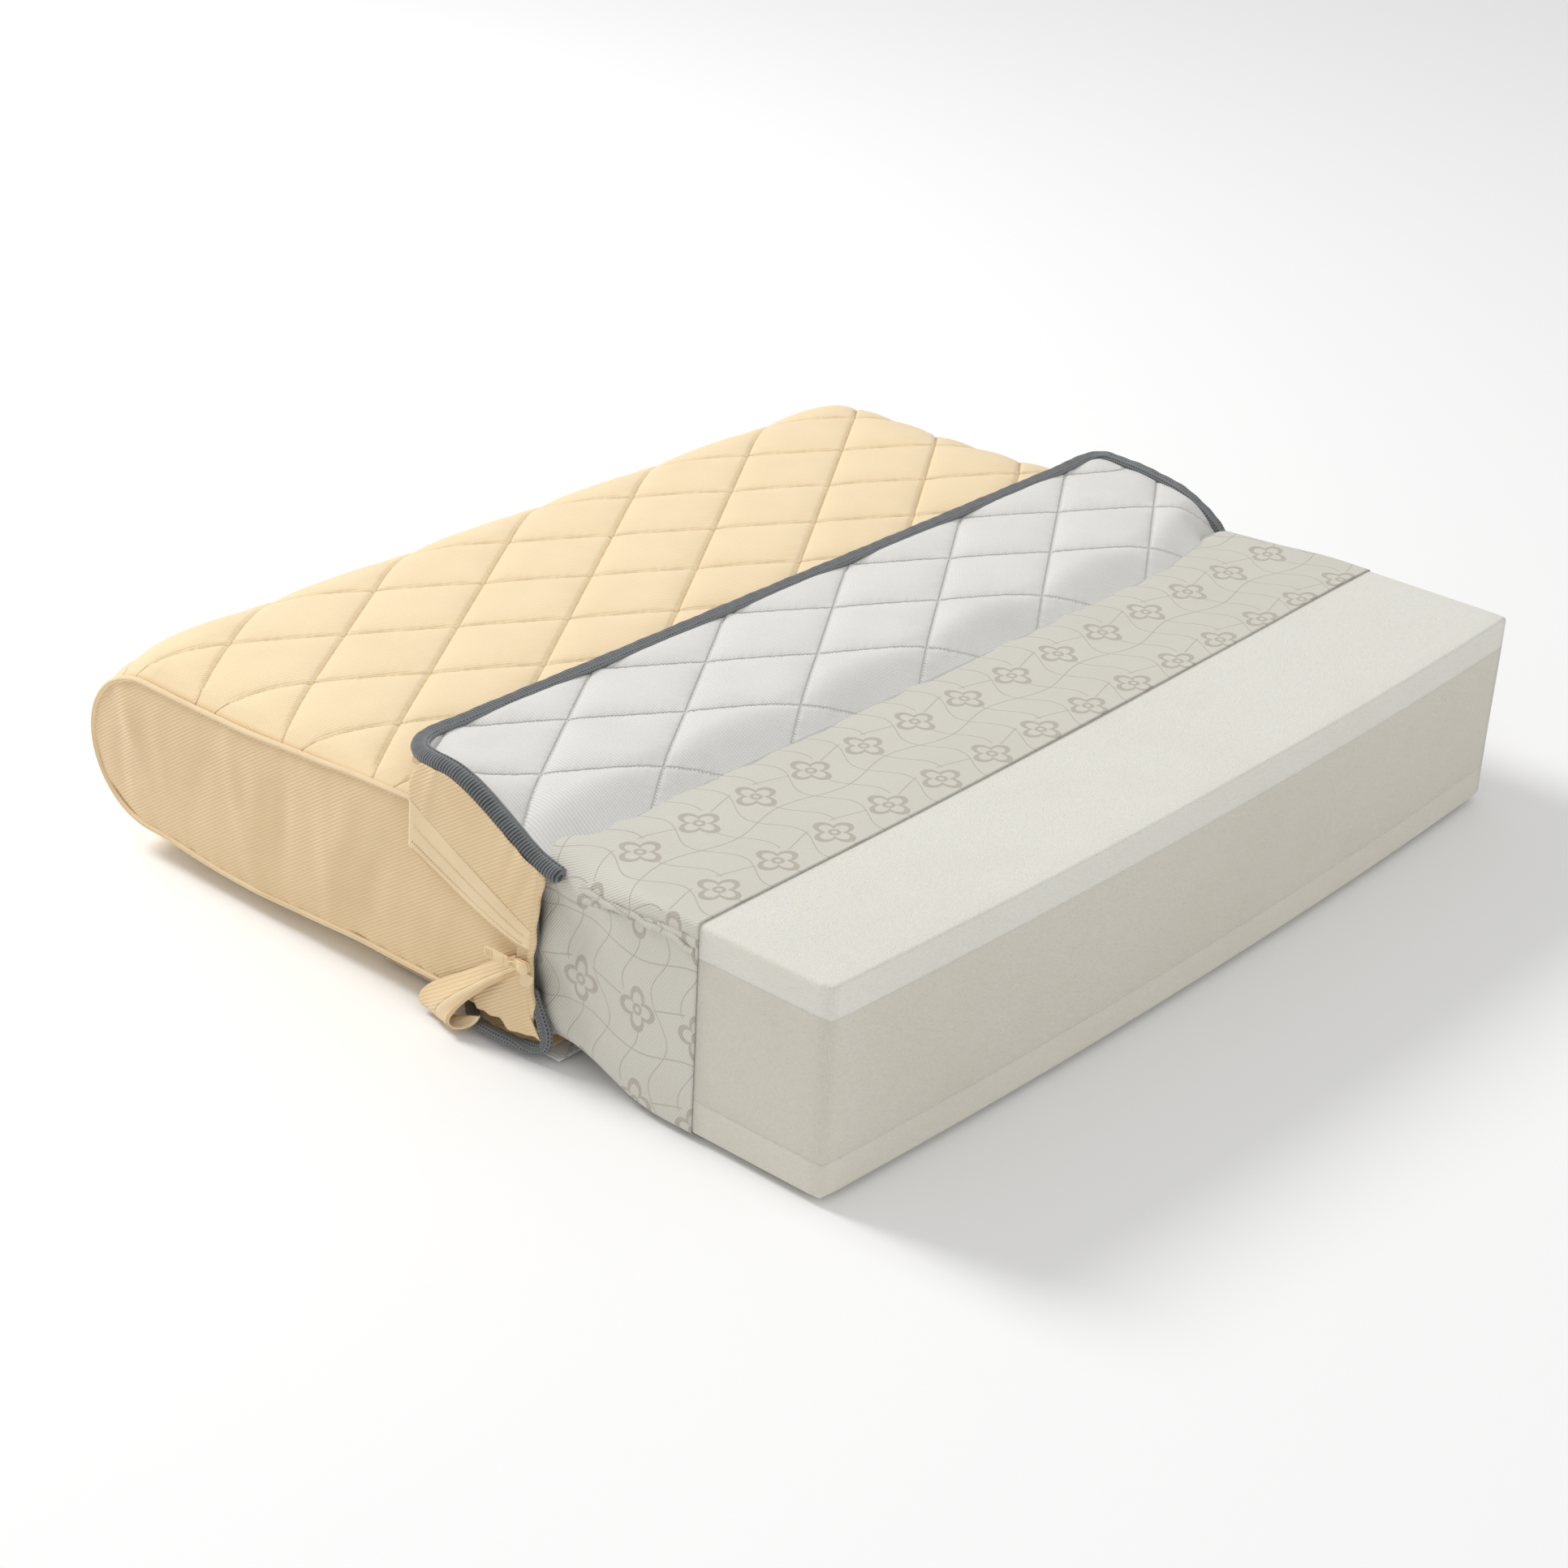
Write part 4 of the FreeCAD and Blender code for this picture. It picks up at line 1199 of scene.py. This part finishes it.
def end_borders():
    """Zip border of the open end. The upper half is folded between the cover and the flap,
    the lower half under the mattress."""
    half = 438
    strip = flat_strip("end_border_strip", half, 391, 449, 185.9, 1.0, M["twill"],
                       ["upper_end_border"], "end_border", "twill_fabric", 0.15, follow=True)
    tape = flat_strip("end_border_tape", half, 373, 392, 185.7, 0.8, M["tape"],
                      ["upper_border_zip_tape"], "end_border", "zip_tape", 0.1)
    xs = np.arange(1 - half, half - 1, 2.0)
    path = np.stack([xs, np.full(len(xs), 371.6), np.full(len(xs), 185.2)], 1)
    up = np.tile(np.array([[0, 0, 1.0]]), (len(xs), 1))
    coil = coil_row("end_border_coil", path, up, 1.1)
    belong(coil, "end_border", "zip_coil", "upper_border_zip_teeth")
    low = flat_strip("lower_border_strip", half, 416, 460, 3.1, 0.5, M["twill"],
                     ["lower_end_border"], "mattress", "twill_fabric")
    low_tape = flat_strip("lower_border_tape", half, 397, 416, 3.1, 0.5, M["tape"],
                          ["lower_border_zip_tape"], "mattress", "zip_tape")
    low_coil = flat_strip("lower_border_coil", half, 394, 397, 3.1, 0.6, M["coil"],
                          ["lower_border_zip_teeth"], "mattress", "zip_coil")


end_borders()


# ---- lower half of the zip, bindings at the mouth --------------------------------------------
def between(first, second, n, m, bulge, side):
    """A cloth patch between two edge curves; bulge(s, t) moves it outwards."""
    a, _ = resample(first, 0.5)
    b, _ = resample(second, 0.5)
    t = np.linspace(0, 1, n)
    a, b = [take(t * (len(c) - 1), np.arange(len(c)), c) for c in (a, b)]
    s = np.linspace(0, 1, m)[None, :, None]
    p = a[:, None, :] * (1 - s) + b[:, None, :] * s
    p[..., 0] -= bulge(s[..., 0], t[:, None])
    if side > 0:
        p = mirror(p)[:, ::-1]
    return p


def lower_zip(side, label):
    """Corner of the mouth below the slider, and the loop that the zip's lower half curls into."""
    mouth_line = smooth_path([(-458.0, 279, 79), (-457.8, 279.5, 58), (-457.6, 278.5, 38),
                              (-456.8, 273, 27), (-456.2, 268, 17)], 1.0)[0]
    tape_line = smooth_path([(-458.6, 288, 76), (-459.2, 303, 62), (-460.0, 322, 44),
                             (-460.4, 338, 31), (-459.4, 332, 22)], 1.0)[0]
    p = between(mouth_line, tape_line, 60, 40,
                lambda s, t: 1.6 * np.sin(math.pi * s) + 1.0 * np.sin(9 * s + 4 * t) * t
                + 0.8 * np.sin(17 * s + 1) * t ** 3, side)
    t = np.linspace(0, 1, 60)[:, None]
    s = np.linspace(0, 1, 40)[None, :]
    p[..., 2] += (1.5 * np.sin(11 * s + 0.6) + 0.8 * np.sin(23 * s)) * t ** 5
    under = sheet_of("mouth_corner_" + label, p, 1.1, M["twill"])
    # the free half of the zip: a band of twill with the tape along its lower edge, from the
    # slider down to the floor, where it curls under itself
    free = smooth_path([(-461.8, 285, 73), (-462.6, 298, 63), (-464.6, 315, 49),
                        (-468.0, 330, 34), (-472.5, 342, 20), (-476.5, 348, 9),
                        (-474.5, 344, 2.6), (-468.0, 336, 3.6), (-463.5, 329, 10.0),
                        (-462.5, 326, 17.0)], 1.0)[0]
    hem = smooth_path([(-458.6, 293, 82), (-458.0, 318, 67), (-457.6, 345, 47),
                       (-458.0, 372, 30), (-459.5, 388, 17), (-462.5, 394, 8),
                       (-467.0, 388, 2.2), (-465.0, 372, 1.8), (-460.0, 356, 3.0)], 1.0)[0]
    q = between(hem, free, 110, 60,
                lambda s, t: (5.0 * np.sin(math.pi * s ** 1.3) * (0.3 + 0.7 * step01(t, 0, 0.5))
                              * (1 - step01(t, 0.6, 0.85))
                              + 0.7 * np.sin(7 * s + 5 * t) * np.sin(math.pi * s)
                              + 0.5 * np.exp(-((s - 0.93) / 0.03) ** 2)
                              - 0.5 * np.exp(-((s - 0.62) / 0.02) ** 2)), side)
    cut = 38
    if side < 0:
        cloth_part, tape_part, coil_at = q[:, :cut], q[:, cut - 1:], -4
    else:
        cloth_part, tape_part, coil_at = q[:, 60 - cut:], q[:, :61 - cut], 3
    band = sheet_of("zip_side_band_" + label, cloth_part, 1.1, M["twill"])
    tape = sheet_of("zip_loop_tape_" + label, tape_part, 1.2, M["tape"])
    facing = normals(q)[:, coil_at]
    coil = coil_row("zip_loop_coil_" + label, q[:, coil_at] + facing * 0.3, facing, 1.2)
    # rounded end of the tape under the slider
    r = np.linspace(0.02, 1, 14)[:, None]
    a = np.linspace(math.radians(178), math.radians(362), 40)[None, :]
    py = 283 + 11.5 * r * np.cos(a)
    pz = 73 + 12.5 * r * np.sin(a)
    px = 460.8 + 0.8 * np.sin(2.2 * a) * r + 0.5 * r
    w = np.stack([side * px, py, pz], -1)
    if side > 0:
        w = w[:, ::-1]
    patch = sheet_of("zip_end_" + label, w[:, ::-1], 0.9, M["tape"])
    body = "mattress"
    belong(under, body, "twill_fabric", "lower_strip_" + label)
    belong(tape, body, "zip_tape", "lower_zip_tape_" + label, "lower_zip_loop_" + label)
    belong(coil, body, "zip_coil", "lower_zip_teeth_" + label)
    belong(band, body, "twill_fabric")
    belong(patch, body, "zip_tape", "zip_end_patch_" + label)


lower_zip(-1, "left")
lower_zip(1, "right")


def mouth_bindings(side, label):
    """Grey binding inside the gusset's open edge."""
    at = mouth_at(side)
    path, t = smooth_path([(450.6 * side, at + 3, 156), (451.2 * side, at + 6, 128),
                           (452.0 * side, at + 1.5, 102), (452.0 * side, at + 7, 84),
                           (452.4 * side, at + 8, 60), (452.8 * side, at + 2, 44)], 1.8)
    grow = 1 + 0.06 * np.sin(t / 4.3) + 0.05 * np.sin(t / 2.1)
    path = path + np.stack([0.3 * np.sin(t / 9), 0 * t, 0.3 * np.sin(t / 13)], 1)
    band = sweep("mouth_binding_band_" + label, path, ring(3.4, 2.2, 14) * grow[:, None, None],
                 (0, 1, 0), M["grey"])
    belong(band, "mattress", "grey_mesh_binding", "mouth_binding_" + label)


mouth_bindings(-1, "left")
mouth_bindings(1, "right")


def bottom_flap():
    """The lower flap, turned under, and its binding from the mouth down and round the flap."""
    half, narrow = 447, 0.055
    lining = flat_strip("bottom_flap", half, 258, 466, 1.5, 1.2, M["lining"],
                        ["under_flap_lining", "under_flap_wadding"], "mattress", "white_lining",
                        narrow=narrow)
    fabric = flat_strip("bottom_flap_fabric", half, 275, 466, 2.3, 0.6, M["quilt"],
                        ["under_flap_fabric"], "mattress", "quilted_fabric", narrow=narrow)
    points = [(-451.5, 284, 52), (-452.6, 276, 42), (-453.6, 268, 31), (-453.2, 264.5, 20),
              (-452.6, 267, 9.5), (-453.5, 280, 5.2), (-456.4, 298, 4.8), (-457.6, 320, 4.8),
              (-455.0, 338, 3.8)]
    under = [(-446.0, 352, 2.2), (-428.0, 372, 1.5), (-422, 455, 1.5), (-408, 466, 1.5)]
    left = points + under
    path, t = smooth_path(left + [(-x, y, z) for x, y, z in left[::-1]], 2.2)
    thin = 1 - 0.72 * step01(path[:, 1], 326, 358)
    grow = 1 + 0.05 * np.sin(t / 4.3) + 0.04 * np.sin(t / 2.1)
    section = ring(4.3, 5.4, 14) * np.stack([thin * grow, grow], 1)[:, None]
    up = np.tile(np.array([[0.0, 0.0, 1.0]]), (len(path), 1))
    up[:, 0] = np.sign(path[:, 0]) * step01(-path[:, 1], -300, -268) * 2
    binding = sweep("bottom_flap_binding", path, section, up, M["grey"])
    points = binding.data.vertices
    co = np.empty(len(points) * 3, np.float32)
    points.foreach_get("co", co)
    clear_of_floor = 0.0002
    co[2::3] = np.maximum(co[2::3], clear_of_floor)
    points.foreach_set("co", co)
    belong(binding, "mattress", "grey_mesh_binding", "under_flap_binding")


bottom_flap()


# ---- slider ----------------------------------------------------------------------------------
def plate(name, outline, x0, x1, bevel, material):
    """A plate with rounded edges, from an outline in Y and Z, between two distances out on the
    left side."""
    outline = np.asarray(outline, float)
    centre = outline.mean(0)
    steps = [(bevel, 0.0)] + [(bevel * (1 - math.sin(a)), bevel * (1 - math.cos(a)))
                              for a in (0.5, 1.0, math.pi / 2)]
    tangent = unit(np.roll(outline, -1, 0) - np.roll(outline, 1, 0))
    normal = np.stack([tangent[:, 1], -tangent[:, 0]], 1)
    normal *= np.sign(((outline - centre) * normal).sum(1).mean())
    inner = outline - normal * bevel
    rings = [(x0, centre + (inner - centre) * k) for k in (0.02, 0.52)]
    rings += [(x0 + dx, outline - normal * inset) for inset, dx in steps]
    rings += [(x1 - dx, outline - normal * inset) for inset, dx in steps[::-1]]
    rings += [(x1, centre + (inner - centre) * k) for k in (0.52, 0.02)]
    p = np.array([np.concatenate([np.full((len(outline), 1), -x), at], 1) for x, at in rings])
    return build(name, p, quads(*p.shape[:2], wrap_m=True), material,
                 flat3(p[..., 1], p[..., 2]))


def rounded_outline(y0, y1, z0, z1, radius, taper=0.0):
    """A rounded rectangle in Y and Z that can get narrower towards y1."""
    pts = []
    for cy, cz, start in ((y1 - radius, z1 - radius, 0), (y0 + radius, z1 - radius, 90),
                          (y0 + radius, z0 + radius, 180), (y1 - radius, z0 + radius, 270)):
        for a in np.linspace(0, 90, 8):
            r = math.radians(start + a)
            pts.append((cy + radius * math.cos(r), cz + radius * math.sin(r)))
    pts = np.array(pts)
    middle = (z0 + z1) / 2
    k = (pts[:, 0] - y0) / (y1 - y0)
    pts[:, 1] = middle + (pts[:, 1] - middle) * (1 - taper * k)
    return pts


def slider():
    """The slider with its domed cap and wire bail, and the ribbed pull tab on the bail."""
    metal, rubber = M["slider"], M["tab"]
    lower = plate("slider_lower_plate", rounded_outline(274.5, 290, 74.2, 83.8, 3.6, taper=0.2),
                  461.7, 463.0, 0.5, metal)
    upper = plate("slider_upper_plate", rounded_outline(274.5, 289.5, 74.0, 84.0, 3.8, taper=0.2),
                  464.0, 465.4, 0.55, metal)
    neck = plate("slider_neck", rounded_outline(275.5, 281, 76.5, 81.5, 1.8), 462.6, 464.3, 0.2,
                 metal)
    profile = [(5.0, 465.2), (5.1, 465.7), (4.8, 466.3), (4.2, 466.5), (3.7, 466.2),
               (3.4, 466.3), (2.4, 466.9), (1.2, 467.2), (0.05, 467.3)]
    a = np.linspace(0, 2 * math.pi, 40, endpoint=False)
    cap_y, cap_z = 281.0, 79.0
    rows = np.array([np.stack([np.full(40, -x), cap_y + r * np.cos(a), cap_z + r * np.sin(a)], 1)
                     for r, x in profile])
    dome = build("slider_cap", rows, quads(*rows.shape[:2], wrap_m=True)[:, ::-1], metal,
                 flat3(rows[..., 1], rows[..., 2]))
    bail = sweep("slider_bail_loop", smooth_path(
        [(-465.0, 285.0, 76.6), (-466.9, 287.5, 76.6), (-467.0, 291.4, 77.0),
         (-466.9, 291.8, 79.0), (-467.0, 291.4, 81.0), (-466.9, 287.5, 81.4),
         (-465.0, 285.0, 81.4)], 0.4)[0], ring(0.55, 0.55, 10), (1, 0, 0), metal)
    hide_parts("slider_body")
    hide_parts("slider_bail")
    for piece in (lower, upper, neck, dome, bail):
        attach(piece, "slider")
    tab = plate("pull_tab_plate", rounded_outline(292.6, 317.4, 74.7, 83.3, 1.6), 465.4, 466.8,
                0.45, rubber)
    neck = plate("pull_tab_neck", rounded_outline(290.2, 295.0, 77.2, 80.8, 1.3), 465.7, 466.6,
                 0.35, rubber)
    raised = plate("pull_tab_panel", rounded_outline(297.0, 307.5, 75.9, 82.1, 0.9), 466.4,
                   467.5, 0.35, rubber)
    made = [tab, neck, raised]
    for k in range(4):
        y = 309.4 + k * 1.85
        made.append(plate("pull_tab_rib_%d" % (k + 1), rounded_outline(y, y + 0.95, 75.6, 82.4,
                                                                       0.45), 466.4, 467.4, 0.3,
                          rubber))
    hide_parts("pull_tab")
    for piece in made:
        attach(piece, "pull_tab")


slider()


# ---- camera, light, floor --------------------------------------------------------------------
def stage_set():
    floor = bpy.data.meshes.new("floor")
    size, below = 30, -0.004
    corners = ((-1, -1), (1, -1), (1, 1), (-1, 1))
    floor.from_pydata([(x * size, y * size, below) for x, y in corners], [], [(0, 1, 2, 3)])
    ground = bpy.data.objects.new("floor", floor)
    pale = Paint("floor", rgb(250, 250, 250), rough=0.9)
    floor.materials.append(pale.material)
    bpy.context.scene.collection.objects.link(ground)
    world = bpy.data.worlds.new("studio")
    world.use_nodes = True
    background = world.node_tree.nodes["Background"]
    background.inputs["Color"].default_value = (1.0, 1.0, 1.0, 1)
    background.inputs["Strength"].default_value = 0.64
    bpy.context.scene.world = world
    for name, at, aim, size, power in (
            ("key", (-0.8, 3.0, 2.9), (0, 0, 0), 1.5, 108),
            ("fill", (-0.9, -4.0, 1.6), (0, 0, 0.05), 2.4, 20)):
        light = bpy.data.lights.new(name, "AREA")
        light.shape = "DISK"
        light.size = size
        light.energy = power
        lamp = bpy.data.objects.new(name, light)
        lamp.location = at
        lamp.rotation_mode = "QUATERNION"
        lamp.rotation_quaternion = (Vector(aim) - Vector(at)).to_track_quat("-Z", "Y")
        bpy.context.scene.collection.objects.link(lamp)
    camera = bpy.data.cameras.new("camera")
    camera.lens = 72.0
    camera.sensor_width = 36.0
    eye = bpy.data.objects.new("camera", camera)
    right = Vector((0.65939, -0.75049, 0.04438))
    down = Vector((-0.31298, -0.32771, -0.89143))
    ahead = Vector((0.68356, 0.57391, -0.45097))
    place = Vector((-1861.9, -1134.0 + SHIFT, 1239.8)) / 1000
    turn = Matrix((right, -down, -ahead)).transposed().to_4x4()
    eye.matrix_world = Matrix.Translation(place) @ turn
    bpy.context.scene.collection.objects.link(eye)
    bpy.context.scene.camera = eye
    camera.clip_start = 0.05
    bpy.context.scene.view_settings.view_transform = "Standard"


stage_set()
